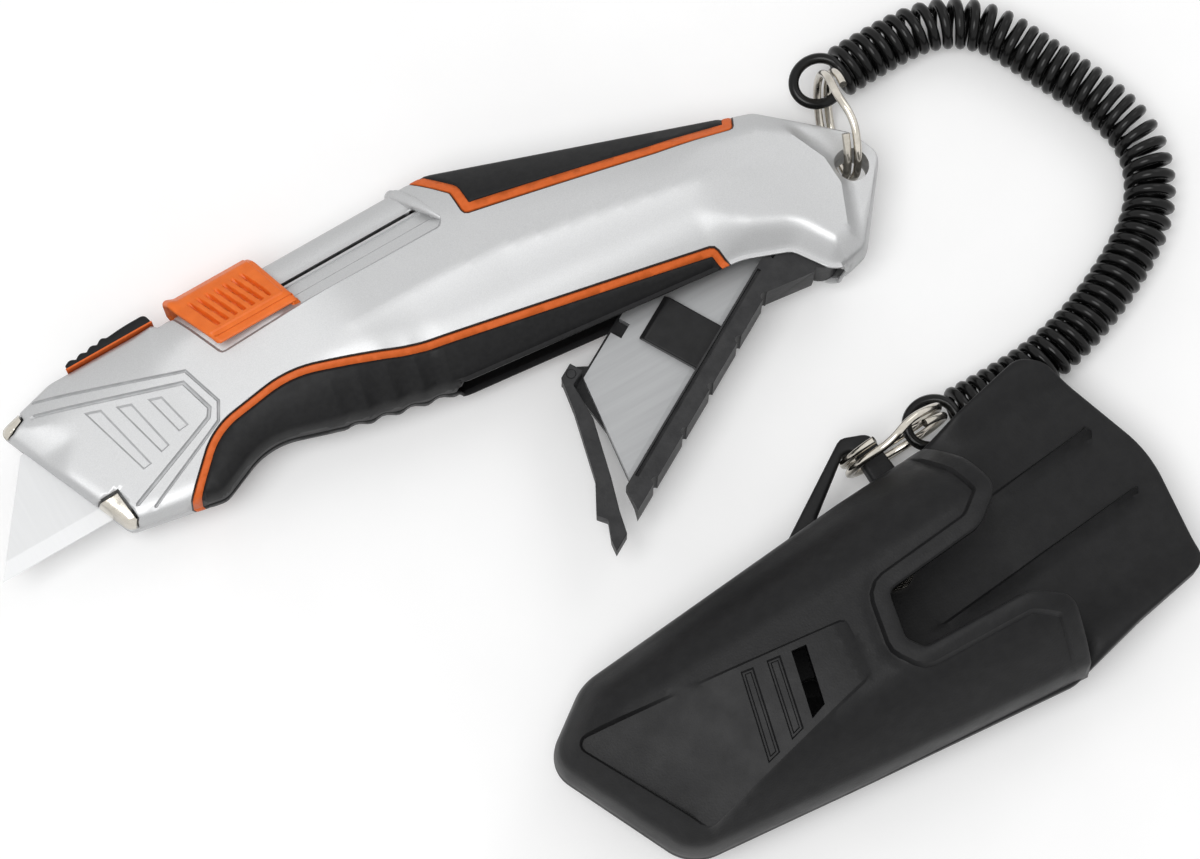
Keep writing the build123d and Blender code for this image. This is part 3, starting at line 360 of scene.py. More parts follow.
def mesh_piece(name, places, faces, thickness=0.0, walls=(), facing=1, floor=None):
    """A smooth mesh object from points in millimetres; walls are (loop, foot) round holes."""
    used = np.unique(faces)
    number = np.full(len(places), -1)
    number[used] = np.arange(len(used))
    mesh = bpy.data.meshes.new(name)
    mesh.from_pydata((places[used] * MM).tolist(), [], number[faces].tolist())
    form = bmesh.new()
    form.from_mesh(mesh)
    for loop, foot in walls:
        border = [edge for edge in form.edges if edge.is_boundary]
        rim = [edge for edge in border if all(on_loop(vertex, loop) for vertex in edge.verts)]
        level(bmesh.ops.extrude_edge_only(form, edges=rim), foot)
    bmesh.ops.recalc_face_normals(form, faces=form.faces)
    upward = sum(face.normal.z * face.calc_area() for face in form.faces)
    if upward * facing < 0:
        bmesh.ops.reverse_faces(form, faces=form.faces)
    if floor is not None:
        level(bmesh.ops.extrude_face_region(form, geom=list(form.faces), use_keep_orig=True), floor)
        bmesh.ops.recalc_face_normals(form, faces=form.faces)
    form.to_mesh(mesh)
    form.free()
    mesh.shade_smooth()
    mesh.set_sharp_from_angle(angle=SHARP)
    piece = placed(name, mesh)
    if thickness:
        wall = piece.modifiers.new("wall", "SOLIDIFY")
        wall.thickness = thickness * MM
        wall.offset = -1
    return piece


def fit_out(piece, material, *nodes):
    """Material and body of a finished piece, with the nodes that it stands in for hidden."""
    piece.data.materials.clear()
    piece.data.materials.append(material)
    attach(piece, BODY_OF[nodes[0]])
    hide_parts(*nodes)


# Materials

NOISE_ROUGH = 0.55
TINT_REACH = (0.35, 0.65)
GLOSS_REACH = (0.3, 0.7)


def shader(name):
    """A new node material and its principled shader."""
    material = bpy.data.materials.new(name)
    material.use_nodes = True
    return material, material.node_tree.nodes["Principled BSDF"]


def new_node(owner, kind, values):
    """A new shader node of a material or world, with values for its inputs."""
    node = owner.node_tree.nodes.new("ShaderNode" + kind)
    return settled(node, values)


def settled(node, values):
    """The node, with values set on its inputs."""
    for entry, value in values.items():
        node.inputs[entry].default_value = value
    return node


def link(material, source, output, target, entry):
    """Joins one node's output to another's input."""
    material.node_tree.links.new(source.outputs[output], target.inputs[entry])


def noise(material, scale, detail, stretch=None):
    """Noise over the object's coordinates, in cycles per metre."""
    place, output = new_node(material, "TexCoord", {}), "Object"
    if stretch:
        squeeze = new_node(material, "Mapping", {"Scale": stretch})
        link(material, place, output, squeeze, "Vector")
        place, output = squeeze, "Vector"
    values = {"Scale": scale, "Detail": detail, "Roughness": NOISE_ROUGH}
    pattern = new_node(material, "TexNoise", values)
    link(material, place, output, pattern, "Vector")
    return pattern


def tint(material, bsdf, pattern, *tones):
    """Colour between a dark and a light tone by a pattern."""
    ramp = new_node(material, "ValToRGB", {})
    for element, position, tone in zip(ramp.color_ramp.elements, TINT_REACH, tones):
        element.position = position
        element.color = (*tone, 1)
    link(material, pattern, "Fac", ramp, "Fac")
    link(material, ramp, "Color", bsdf, "Base Color")


def gloss(material, bsdf, pattern, low, high):
    """Roughness between two values by a pattern."""
    least, most = GLOSS_REACH
    values = {"From Min": least, "From Max": most, "To Min": low, "To Max": high}
    reach = new_node(material, "MapRange", values)
    link(material, pattern, "Fac", reach, "Value")
    link(material, reach, "Result", bsdf, "Roughness")


def bump(material, bsdf, pattern, strength, depth):
    """Relief from a pattern, its depth in metres."""
    raised = new_node(material, "Bump", {"Strength": strength, "Distance": depth})
    link(material, pattern, "Fac", raised, "Height")
    link(material, raised, "Normal", bsdf, "Normal")


def surface(name, tones, colour, rough, sheen, grain, relief, sockets):
    """A material with a (scale, detail) noise each for colour, roughness and relief."""
    material, bsdf = shader(name)
    tint(material, bsdf, noise(material, *colour), *tones)
    gloss(material, bsdf, noise(material, *sheen), *rough)
    bump(material, bsdf, noise(material, *grain), *relief)
    settled(bsdf, sockets)
    return material


def rubber(name, dark, light, rough):
    """Matte soft rubber with a fine grain."""
    return surface(
        name, (dark, light), (900, 4), (rough - 0.06, rough + 0.06), (240, 4), (3800, 3),
        (0.25, 0.00006), {"Specular IOR Level": 0.16})


def moulded(name, dark, light, rough, grain, depth, shine=0.5):
    """Moulded plastic with a grain and its depth in metres."""
    return surface(
        name, (dark, light), (420, 5), (rough - 0.05, rough + 0.05), (180, 4), (grain, 3),
        (0.3, depth), {"Specular IOR Level": shine})


def steel(name, dark, light, rough, stretch, metallic):
    """Ground steel, with fine lines across one axis of the object."""
    material, bsdf = shader(name)
    settled(bsdf, {"Metallic": metallic})
    pattern = noise(material, 1000, 4, stretch)
    tint(material, bsdf, pattern, dark, light)
    gloss(material, bsdf, pattern, rough - 0.02, rough + 0.03)
    bump(material, bsdf, pattern, 0.02, 0.00002)
    return material


SILVER = surface(
    "silver_paint", ((0.49, 0.494, 0.498), (0.545, 0.549, 0.553)), (5200, 2), (0.40, 0.46),
    (160, 4), (2600, 2), (0.12, 0.00004), {"Metallic": 0.5, "Coat Weight": 0.12, "Coat Roughness": 0.3})
BLACK_RUBBER = rubber("black_rubber", (0.009, 0.009, 0.0095), (0.013, 0.013, 0.0135), 0.48)
ORANGE_RUBBER = rubber("orange_rubber", (0.64, 0.125, 0.024), (0.71, 0.145, 0.032), 0.5)
ORANGE_PLASTIC = moulded(
    "orange_plastic", (0.76, 0.15, 0.018), (0.83, 0.175, 0.024), 0.38, 3000, 0.00003, 0.3)
BLACK_PLASTIC = moulded(
    "black_plastic", (0.011, 0.011, 0.0115), (0.016, 0.016, 0.0165), 0.42, 3200, 0.00006, 0.18)
DRAWER_BLACK = moulded(
    "drawer_black", (0.022, 0.022, 0.023), (0.034, 0.034, 0.035), 0.5, 1800, 0.0002, 0.2)
HOLSTER_BLACK = moulded(
    "holster_black", (0.0085, 0.0085, 0.009), (0.012, 0.012, 0.0125), 0.44, 2600, 0.00012, 0.17)
CORD_BLACK = moulded("cord_black", (0.004, 0.004, 0.004), (0.006, 0.006, 0.006), 0.2, 1200, 0.00002, 0.22)
BLADE_STEEL = steel("blade_steel", (0.62, 0.625, 0.63), (0.645, 0.65, 0.655), 0.5, (1.0, 0.05, 1.0), 0.4)
SPARE_STEEL = steel("spare_steel", (0.34, 0.345, 0.35), (0.365, 0.37, 0.375), 0.4, (0.05, 1.0, 1.0), 0.6)
NICKEL = surface(
    "nickel", ((0.52, 0.49, 0.43), (0.70, 0.66, 0.59)), (300, 4), (0.10, 0.22), (700, 4), (900, 3),
    (0.05, 0.00005), {"Metallic": 1.0})
# Painted shade: darker silver for the faces in the nose's frame lines, bar outlines and track step, near
# black for the faces in the seams beside the skins.
GROOVE_SHADE = moulded("groove_shade", (0.42, 0.425, 0.43), (0.50, 0.505, 0.51), 0.5, 3000, 0.00003)
SEAM_SHADE = moulded("seam_shade", (0.03, 0.03, 0.03), (0.05, 0.05, 0.05), 0.6, 3000, 0.00003)


# Knife halves


def rounded_crown(x):
    """Half thickness along the knife, its steps eased."""
    sample = np.arange(-110.0, 90.0, 0.5)
    profile = np.interp(sample, *np.array(CROWN).T)
    kernel = np.hanning(17)
    profile = np.convolve(np.pad(profile, 8, mode="edge"), kernel / kernel.sum(), "valid")
    return np.interp(x, sample, profile)


def left_of(points, line):
    """Signed distance from an open line, positive on its left."""
    sign, least = np.zeros(len(points)), np.full(len(points), FAR)
    for gap, start, run in segments(points, np.array(line, float)):
        side = np.sign(run[0] * (points[:, 1] - start[1]) - run[1] * (points[:, 0] - start[0]))
        nearer = gap < least
        sign[nearer], least[nearer] = side[nearer], gap[nearer]
    return sign * least


def outside(points, corners):
    """Distance out of a closed figure, negative inside it."""
    corners = np.array(corners)
    return distance(points, corners, True) * np.where(inside(points, corners), -1, 1)


def painted_shade_kind(points):
    """0 on the plain surface, 1 for painted shade in a frame line, bar outline or track step, 2 for
    painted shade in the seam beside a skin.
    """
    kind = np.zeros(len(points), np.int32)
    for line, width in zip(NOSE_FRAME, FRAME_HALF_WIDTHS):
        kind[distance(points, np.array(line)) < width + 0.05] = 1
    for bar in NOSE_BARS:
        kind[np.abs(outside(points, bar) + 0.07) < 0.17] = 1
    x, y = points[:, 0], points[:, 1]
    stepped = (np.abs(y - TRACK_STEP_LINE[1]) < 0.15) & (x > TRACK_STEP_LINE[0])
    kind[stepped & inside(points, POCKET_OUTLINE)] = 1
    for _, outline, _ in SKINS:
        kind[distance(points, outline, True) < SEAM + 0.11] = 2
    return kind


def groove(gap, half_width, depth):
    """How much a groove takes off at a distance from its middle."""
    return depth * np.clip((half_width + GROOVE_EDGE - gap) / (2 * GROOVE_EDGE), 0, 1)


def finger_ripple(x):
    """0 on a finger ridge and 1 in the hollow between two."""
    return 0.5 - 0.5 * np.cos(2 * np.pi * (x - FINGER_START_X) / FINGER_PITCH)


def scalloped(outline):
    """The knife's outline with shallow finger scallops."""
    x, y = outline[:, 0], outline[:, 1]
    ripple = FINGER_SCALLOP * finger_ripple(x)
    outline[:, 1] += ripple * smooth(-40, -36, x) * (1 - smooth(-18, -14, x)) * (y < 0)
    return outline


BODY_OUTLINE = scalloped(anticlockwise(outline_of(BODY_CORNERS, 0.8)))
BELLY_OUTLINE = anticlockwise(outline_of(BELLY_LINE))
TOP_OUTLINE = anticlockwise(outline_of(TOP_LINE))
SKINS = (("belly", BELLY_OUTLINE, BELLY_BORDER), ("top", TOP_OUTLINE, TOP_BORDER))
POCKET_OUTLINE = anticlockwise(outline_of(POCKET_LINE))
FRAME_HALF_WIDTHS = (0.2, 0.3)
FRAME_DEPTH = 0.5
BAR_DEPTH = 0.4
BAR_SLOPE = (-0.1, 0.25)
BAR_RUN = 0.35
POCKET_WALL = 0.5
POCKET_DEPTH = 0.5
SEAM = 0.16
SEAM_DEPTH = 0.3


def circle(centre, radius, count=40):
    """Points round a circle."""
    turns = np.linspace(0, 2 * np.pi, count, endpoint=False)
    return np.stack((centre[0] + radius * np.cos(turns), centre[1] + radius * np.sin(turns)), axis=1)


def slot_loop():
    """The slot along the track, under the slider."""
    low, high = SLOT_Y - SLOT_WIDTH / 2, SLOT_Y + SLOT_WIDTH / 2
    corners = ((SLOT_ENDS[0], low), (SLOT_ENDS[1], low), (SLOT_ENDS[1], high), (SLOT_ENDS[0], high))
    return divided(corners, 1.2, True)


def track_half(y):
    """Half thickness of the track's shoulder."""
    share = (SPINE_Y + 0.6 - y) / (SPINE_Y + 0.6 - TRACK_LOW_Y)
    return TRACK_TOP_HALF + share * (TRACK_LOW_HALF - TRACK_TOP_HALF)


def cheek_height(points):
    """Height of the broad side, with its ridge and the tail's crease."""
    x = points[:, 0]
    above = left_of(points, RIDGE_LINE)
    below = np.maximum(-above, 0)
    lower = RIDGE_DROP * (1 - np.exp(-below / RIDGE_REACH)) + RIDGE_LOWER_SLOPE * below
    fall = np.where(above > 0, above * RIDGE_UPPER_SLOPE, lower)
    cheek = rounded_crown(x) - fall * smooth(-34, -16, x) * (1 - smooth(42, 60, x))
    past = np.clip(left_of(points, TAIL_CREASE) / TAIL_CREASE_WIDTH, 0, 1)
    return cheek - TAIL_DROP * (1 - (1 - past) ** 1.5)


def roof_height(points, edge):
    """Height of the rounded edge and of the slope that rises from it."""
    x, y = points[:, 0], points[:, 1]
    nose_top = (1 - smooth(-64, -52, x)) * smooth(8, 15, y)
    wall = (EDGE_HEIGHT - NOSE_EDGE_DROP * nose_top) * quarter_round(edge, EDGE_ROUND)
    return wall + (EDGE_SLOPE - NOSE_SLOPE_DROP * nose_top) * np.maximum(edge - 0.3, 0)


def relief(points, edge):
    """What finger ripples, seams, grips, frame lines and bars add to the height."""
    x = points[:, 0]
    fingers = smooth(-40, -33, x) * (1 - smooth(-20, -14, x)) * (1 - smooth(0.5, 6.5, edge))
    height = -FINGER_DEPTH * finger_ripple(x) * fingers * inside(points, BELLY_OUTLINE)
    for _, outline, border in SKINS:
        gap = distance(points, outline, True)
        height -= groove(gap, SEAM, SEAM_DEPTH)
        height += SKIN_RISE * smooth(border, border + SKIN_STEP, gap * inside(points, outline))
    for line, width in zip(NOSE_FRAME, FRAME_HALF_WIDTHS):
        height -= groove(distance(points, np.array(line)), width, FRAME_DEPTH)
    for bar in NOSE_BARS:
        height -= BAR_DEPTH * np.clip((-BAR_SLOPE[0] - outside(points, bar)) / BAR_RUN, 0, 1)
    return height


def track_shoulder(y, roof):
    """Height of the slider's track, with its step and bulge."""
    low, step, top, end = TRACK_STEP
    shoulder = track_half(y) - TRACK_STEP_DEPTH * smooth(low, step, y) * (1 - smooth(top, end, y))
    shoulder += TRACK_BULGE * np.sin(np.pi * np.clip((y - 20.2) / 6.4, 0, 1))
    return soft_min(shoulder, roof, 1.2)


def half_height(points, right):
    """Height of one half's surface above the parting plane."""
    x, y = points[:, 0], points[:, 1]
    edge = distance(points, BODY_OUTLINE, True)
    roof = roof_height(points, edge)
    height = soft_min(cheek_height(points), roof, np.interp(x, *np.array(ROUND_OFF).T))
    height += relief(points, edge)
    pocket = np.clip(distance(points, POCKET_OUTLINE, True) / POCKET_WALL, 0, 1)
    pocket = pocket * inside(points, POCKET_OUTLINE)
    height += pocket * (np.minimum(height - POCKET_DEPTH, track_shoulder(y, roof)) - height)
    if right:
        for place in SCREW_PLACES:
            deep = norm(points - np.array(place), axis=1) < SCREW_POCKET_RADIUS + 0.01
            height = np.where(deep, SCREW_SEAT, height)
    bay = BAY_HALF * smooth(*BAY_START, x) * (1 - smooth(*BAY_END, x)) * (y < BAY_TOP_Y)
    nose = BLADE_WAY_HALF * (x < BLADE_WAY_CORNER[0]) * (y < BLADE_WAY_CORNER[1])
    return np.maximum(np.maximum(height, bay), nose)


NOTCHES = [parallel(anticlockwise(divided(hook, 0.5, True)), -HOOK_GAP, True) for hook in HOOKS]


def half_lines(right):
    """The lines that a half's triangles follow."""
    lines = []
    for _, outline, border in SKINS:
        lines += alongside(outline, True, (0.0, -0.28, 0.28, border, border + SKIN_STEP))
    lines += alongside(POCKET_OUTLINE, True, (0.0, POCKET_WALL))
    for line, width in zip(NOSE_FRAME, FRAME_HALF_WIDTHS):
        near, far = width - GROOVE_EDGE, width + GROOVE_EDGE
        lines += alongside(divided(line, 1.0, False), False, (-far, -near, near, far))
    for bar in NOSE_BARS:
        lines += alongside(anticlockwise(divided(bar, 1.0, True)), True, BAR_SLOPE)
    for y in TRACK_STEP:
        lines.append((divided(((-51.0, y), (-5.0, y)), 1.2, False), False))
    for x in BAY_END:
        lines.append((divided(((x, -32.0), (x, -25.0)), 0.8, False), False))
    for line in (TAIL_CREASE, RIDGE_LINE[1:-1]):
        lines.append((divided(line, 0.8, False), False))
    if right:
        for place in SCREW_PLACES:
            lines += [(circle(place, SCREW_POCKET_RADIUS + extra), True) for extra in (0.0, 0.08)]
    else:
        lines += [(notch, True) for notch in NOTCHES]
    return lines


EDGE_RINGS = (0.04, 0.14, 0.3, 0.5, 0.75, 1.05, 1.5, 2.1, 2.8, 3.6, 4.5, 5.4, 6.3)


def knife_half(side, name):
    """One half of the knife: casing, borders and grips."""
    right = side < 0
    holes = [circle(HOLE, HOLE_RADIUS)]
    walls = [(holes[0], MID_Z + side * 0.02)]
    if not right:
        holes.append(slot_loop())
        walls.append((holes[1], MID_Z + SLOT_FOOT))
    flat, faces = triangles_over(BODY_OUTLINE, EDGE_RINGS, half_lines(right), holes, BODY_GRID)
    faces = without_flats(flat, faces, BODY_OUTLINE)
    height = half_height(flat, right)
    places = np.column_stack((flat, MID_Z + side * height))
    middles = flat[faces].mean(axis=1)
    left_over = np.ones(len(faces), bool)
    if not right:
        for notch in NOTCHES:
            left_over &= ~inside(middles, notch)
    for part, outline, border in SKINS:
        within = inside(middles, outline)
        rim = distance(middles, outline, True) < border
        left_over &= ~within
        for kind, chosen, material in (
            ("border", within & rim, ORANGE_RUBBER),
            ("grip", within & ~rim, BLACK_RUBBER),
        ):
            node = f"{part}_{kind}_{name}"
            piece = mesh_piece(f"{node}_skin", places, faces[chosen], SHELL, facing=side)
            fit_out(piece, material, node)
    casing = mesh_piece(f"body_{name}_casing", places, faces[left_over], SHELL, walls, side)
    fit_out(casing, SILVER, f"body_{name}")
    # Painted shade: faces in the frame lines, bar outlines, track step and seams take the darker silver
    # and the near black.
    casing.data.materials.append(GROOVE_SHADE)
    casing.data.materials.append(SEAM_SHADE)
    centres = np.array([tuple(face.center[:2]) for face in casing.data.polygons]) / MM
    casing.data.polygons.foreach_set("material_index", painted_shade_kind(centres))


knife_half(1, "left")
knife_half(-1, "right")


def tube(name, path, radii, sides=10):
    """A closed round tube along a path in millimetres, with a radius at each point."""
    ahead = unit(np.gradient(path, axis=0))
    across = np.cross(ahead[0], (0.3, 0.1, 1.0))
    rings = []
    turns = np.linspace(0, 2 * np.pi, sides, endpoint=False)
    for point, way, radius in zip(path, ahead, radii):
        across = across - way * (across @ way)
        across /= norm(across)
        third = np.cross(way, across)
        rings.append(point + radius * (np.outer(np.cos(turns), across) + np.outer(np.sin(turns), third)))
    places = np.vstack((*rings, path[:1], path[-1:]))
    faces = []
    last = len(path) - 1
    for first in range(0, last * sides, sides):
        for side in range(sides):
            near, after = first + side, first + (side + 1) % sides
            faces.append((near, after, after + sides, near + sides))
    start, end = len(path) * sides, len(path) * sides + 1
    faces += [(start, (side + 1) % sides, side) for side in range(sides)]
    faces += [(end, last * sides + side, last * sides + (side + 1) % sides) for side in range(sides)]
    mesh = bpy.data.meshes.new(name)
    mesh.from_pydata((places * MM).tolist(), [], faces)
    mesh.shade_smooth()
    return placed(name, mesh)


def track_lip():
    """The rounded lip behind the slider's pocket, over the spine."""
    low, high = np.array(TRACK_LIP)
    flat = low + np.linspace(0, 1, 24)[:, None] * (high - low)
    height = half_height(flat + (1.2, 0.6), False) - 0.55
    left = np.column_stack((flat, MID_Z + height))
    right = np.column_stack((flat, MID_Z - height))[::-1]
    over = [(high[0] - 0.3, high[1] + 0.9 * math.cos(turn), MID_Z + height[-1] * math.sin(turn))
            for turn in np.linspace(1.2, -1.2, 9)]
    path = np.vstack((left, over, right))
    share = np.clip(np.concatenate((np.linspace(0, 1.6, 24), np.ones(9), np.linspace(1.6, 0, 24))), 0, 1)
    piece = tube("track_lip", path, np.interp(share, (0, 1), TRACK_LIP_RADII), 16)
    fit_out(piece, SILVER, "body_left", "body_right")


track_lip()


def hinge_pin():
    """The drawer's pin, which ends under the casing."""
    heights = MID_Z + np.linspace(-PIN_HALF, PIN_HALF, 4)
    path = np.column_stack((np.full(4, PIN_PLACE[0]), np.full(4, PIN_PLACE[1]), heights))
    piece = tube("drawer_pin", path, np.full(4, PIN_RADIUS), 24)
    fit_out(piece, BLADE_STEEL, "hinge_pin")


hinge_pin()


def nose_hooks():
    """The right half's hooks, which show in the left half's notches at the nose."""
    for number, corners in enumerate(HOOKS):
        outline = anticlockwise(divided(corners, 0.4, True))
        lines = alongside(outline, True, (0.0, 0.12, 0.3))
        flat, faces = triangles_over(BODY_OUTLINE, EDGE_RINGS[:8], lines, [], 1.0)
        within = inside(flat[faces].mean(axis=1), outline)
        edge = np.clip(distance(flat, outline, True) / 0.3, 0, 1) * inside(flat, outline)
        high = half_height(flat, False) - HOOK_SUNK - 0.3 * (1 - edge) ** 2
        places = np.column_stack((flat, MID_Z + np.maximum(high, BLADE_WAY_HALF + 0.2)))
        hook = mesh_piece(f"nose_hook_{number}", places, faces[within], floor=MID_Z + BLADE_WAY_HALF + 0.1)
        fit_out(hook, NICKEL, "body_right")


nose_hooks()

PAD_FRONT_X = -75.7
PAD_REAR_X = -58.3
PAD_FOOT_Y = 26.9
PAD_HALF = 3.3
PAD_BORDER = 0.3


def nose_pad():
    """The soft thumb pad: ribbed in front, smooth behind, lower at both ends."""
    x = np.linspace(PAD_FRONT_X, PAD_REAR_X, 90)
    rounding = np.sqrt(1 - np.clip((x - PAD_REAR_X + 1.2) / 1.2, 0, 1) ** 2)
    hump = (0.7 + 1.2 * smooth(PAD_FRONT_X, PAD_REAR_X - 3, x)) * (0.35 + 0.65 * rounding)
    ribs = np.abs(np.sin(np.pi * (x - PAD_FRONT_X) / 2.3)) * (1 - smooth(-67.5, -66.0, x))
    top = np.stack((x, PAD_FOOT_Y + hump + 0.5 * ribs), axis=1)
    foot = ((PAD_REAR_X, PAD_FOOT_Y), (PAD_FRONT_X, PAD_FOOT_Y))
    outline = anticlockwise(divided(np.vstack((foot, top)), 0.4, True))
    flat, faces = triangles_over(outline, (0.06, 0.16, 0.3, 0.5), [], [], 0.6)
    high = MID_Z + PAD_HALF - 0.8 * (1 - quarter_round(distance(flat, top), 0.6))
    piece = mesh_piece("nose_pad_ribbed", np.column_stack((flat, high)), faces, floor=MID_Z - PAD_HALF)
    fit_out(piece, BLACK_RUBBER, "nose_pad")
    low, front, rear = PAD_FOOT_Y - PAD_BORDER, PAD_FRONT_X - 0.2, PAD_REAR_X + 0.2
    corners = ((front, low), (rear, low), (rear, PAD_FOOT_Y), (front, PAD_FOOT_Y))
    outline = divided(corners, 0.6, True)
    flat, faces = triangles_over(outline, (0.05, 0.1), [], [], 0.6)
    high = np.full(len(flat), MID_Z + PAD_HALF)
    piece = mesh_piece("nose_pad_line", np.column_stack((flat, high)), faces, floor=MID_Z - PAD_HALF)
    fit_out(piece, ORANGE_RUBBER, "nose_pad_border")


nose_pad()

# Thumb slider

SLIDER_FRONT_X = -56.0
SLIDER_LENGTH = 23.0
SLIDER_LOW_Y = 14.3
SLIDER_STEP_Y = 16.9
SLIDER_RIGHT_LOW_Y = 20.8
SLIDER_TOP_Y = 28.2
SLIDER_RISE = 2.35
SLIDER_SHELL = 1.5
SLIDER_RIB_PITCH = 1.8
PANEL_STRIP = 3.0
RIB_END = 12.0
SLIDER_COLUMNS = 110
SLIDER_SLANT = 2.8
SLIDER_FRONT_LEAN = 7.0
SLIDER_REAR_LEAN = 4.6


def slider_section():
    """Outside of the saddle as (y, half thickness), from its left lower edge over the top."""
    low_half = track_half(SLIDER_LOW_Y)
    corners = (
        (SLIDER_LOW_Y, low_half + 0.5), (SLIDER_LOW_Y + 0.3, low_half + 1.2),
        (SLIDER_STEP_Y, track_half(SLIDER_STEP_Y) + SLIDER_RISE),
        (SLIDER_TOP_Y - 1.4, TRACK_TOP_HALF + 2.0), (SLIDER_TOP_Y, TRACK_TOP_HALF - 0.3),
        (SLIDER_TOP_Y, 0.3 - TRACK_TOP_HALF), (SLIDER_TOP_Y - 1.4, -TRACK_TOP_HALF - 2.0),
        (SLIDER_RIGHT_LOW_Y, -track_half(SLIDER_RIGHT_LOW_Y) - SLIDER_RISE),
    )
    line = divided(corners, 0.3, False)
    kernel = np.hanning(5) / np.hanning(5).sum()
    for axis in (0, 1):
        line[2:-2, axis] = np.convolve(line[:, axis], kernel, "valid")
    return line


def slider_relief(x, front, rear, along):
    """How far the rim, panel and ribs lie under the section."""
    total = along[-1]
    rim = np.minimum.reduce((x - front, rear - x, along, total - along))
    sunk = 0.7 * (1 - quarter_round(rim, 0.9))
    panel = smooth(1.7, 2.1, x - front) * smooth(2.8, 3.2, rear - x)
    panel *= smooth(PANEL_STRIP + 0.9, PANEL_STRIP + 1.4, along)
    panel *= 1 - smooth(RIB_END - 1.2, RIB_END + 0.6, along)
    wave = np.cos(2 * np.pi * (x - front - 3.9) / SLIDER_RIB_PITCH)
    sunk += 0.9 * panel * (1 - smooth(-0.75, -0.1, wave))
    sunk -= 0.25 * smooth(PANEL_STRIP, PANEL_STRIP + 0.25, along) * smooth(0.9, 1.2, rear - x)
    return sunk - 0.5 * smooth(total * 0.35, total * 0.45, along) * (1 - smooth(0.8, 2.6, x - front))


def slider_button():
    """The saddle over the track, as a grid of its section along the slider."""
    section = slider_section()
    outward = turned_left(unit(np.gradient(section, axis=0)))
    if outward[len(section) // 2, 0] < 0:
        outward = -outward
    along = travel(section)
    high, low = SLIDER_TOP_Y + SLIDER_SLANT, SLIDER_LOW_Y - SLIDER_SLANT
    rise = (section[:, 0] - low) / (high - low)
    front = SLIDER_FRONT_X + SLIDER_FRONT_LEAN * (1 - rise)
    rear = SLIDER_FRONT_X + SLIDER_LENGTH - SLIDER_REAR_LEAN * rise
    places = []
    for share in np.linspace(0, 1, SLIDER_COLUMNS):
        x = front + share * (rear - front)
        spot = section - outward * slider_relief(x, front, rear, along)[:, None]
        places.append(np.column_stack((x, spot[:, 0], MID_Z + spot[:, 1])))
    rows = len(section)
    faces = []
    for column in range(SLIDER_COLUMNS - 1):
        for corner in range(column * rows, (column + 1) * rows - 1):
            faces.append((corner, corner + 1, corner + rows + 1, corner + rows))
    piece = mesh_piece("slider_saddle", np.concatenate(places), np.array(faces), SLIDER_SHELL)
    fit_out(piece, ORANGE_PLASTIC, "slider_button")


slider_button()

# Holster

BACK_Z = 10.6
WALL = 2.2
EDGE_Z = 20.0
TIP_X = -38.6
TIP_TOP = 28.0
MOUTH_X = 52.5
MOUTH_TOP = 36.0
HOLSTER_SIDE = (
    (48.2, -65.95, 0), (30.0, -66.8, 40.0), (-26.0, -71.4, 10.0), (TIP_X, -80.5, 6.0),
    (-25.5, -108.7, 9.0), (10.0, -112.4, 40.0), (52.9, -116.0, 0),
)
HOLSTER_LIP = (
    (52.9, -116.0, 0), (53.6, -104.8, 4.0), (47.0, -100.4, 6.0), (26.8, -99.4, 1.6), (24.8, -96.4, 1.6),
    (26.6, -88.0, 1.6), (46.0, -86.6, 6.0), (52.2, -82.0, 4.0), (51.0, -74.0, 12.0), (48.2, -65.95, 0),
)
FLAP = (
    (30.0, -66.8, 40.0), (-26.0, -71.4, 10.0), (TIP_X, -80.5, 6.0), (-25.5, -108.7, 9.0),
    (10.0, -112.4, 40.0), (50.0, -116.2, 6.0), (66.0, -112.4, 20.0), (81.8, -109.6, 4.0),
    (84.6, -87.0, 24.0), (77.0, -63.4, 6.0), (73.0, -60.2, 4.0), (60.0, -63.0, 20.0), (47.0, -66.1, 6.0),
)
EYE = ((15.0, -70.5, 0), (37.8, -56.2, 2.0), (43.0, -58.2, 2.5), (44.0, -70.5, 0))
EYE_OPENING = ((24.4, -68.2, 0.8), (36.5, -59.2, 1.0), (38.6, -59.4, 0.8), (38.6, -68.2, 0.8))
EYE_TOP = 13.6
PANEL = ((-33.5, -81.0, 1.5), (17.6, -88.0, 1.0), (16.6, -98.6, 1.0), (-20.4, -106.6, 1.5))
PANEL_END = np.array(((17.6, -88.0), (16.6, -98.6)))
PANEL_BEVEL = 1.7
PANEL_PROFILE = (-0.0041, 0.39, 24.7)
PANEL_BARS = (
    ((-2.5, -86.6), (-0.4, -87.0), (-3.9, -101.6), (-6.3, -102.1)),
    ((2.3, -87.3), (4.6, -87.7), (1.6, -100.3), (-0.9, -100.9)),
)
PANEL_SLOT = ((6.7, -88.0), (9.5, -88.4), (6.9, -98.8), (3.8, -99.8))
PANEL_SLOT_FOOT = 30.2
BACK_WINDOW = ((6.0, -90.4, 1.0), (11.0, -91.0, 1.0), (11.0, -97.4, 1.0), (6.0, -97.4, 1.0))
FINS = (((52.0, -80.0), (76.0, -78.0)), ((32.0, -95.4), (78.0, -91.8)))
SIDE_LINE = outline_of(HOLSTER_SIDE, 1.0, False)
LIP_LINE = outline_of(HOLSTER_LIP, 1.0, False)
FRONT_OUTLINE = np.concatenate((SIDE_LINE, LIP_LINE[1:-1]))
PANEL_OUTLINE = anticlockwise(outline_of(PANEL))
LIP_WIDTH = 3.2
LIP_STEPS = (0.15, 0.45, 0.9, 3.0, 3.3, 3.6, 4.1, 5.0)
HOLSTER_RINGS = (0.03, 0.12, 0.28, 0.5, 0.8, 1.2, 1.8, 2.6, 3.5, 4.5, 5.6, 6.8)
FLAP_OUTLINE = anticlockwise(outline_of(FLAP))
FLAP_RINGS = (0.1, 0.3, 0.6, 0.95, 1.6)
FIN_HEIGHT = 3.0


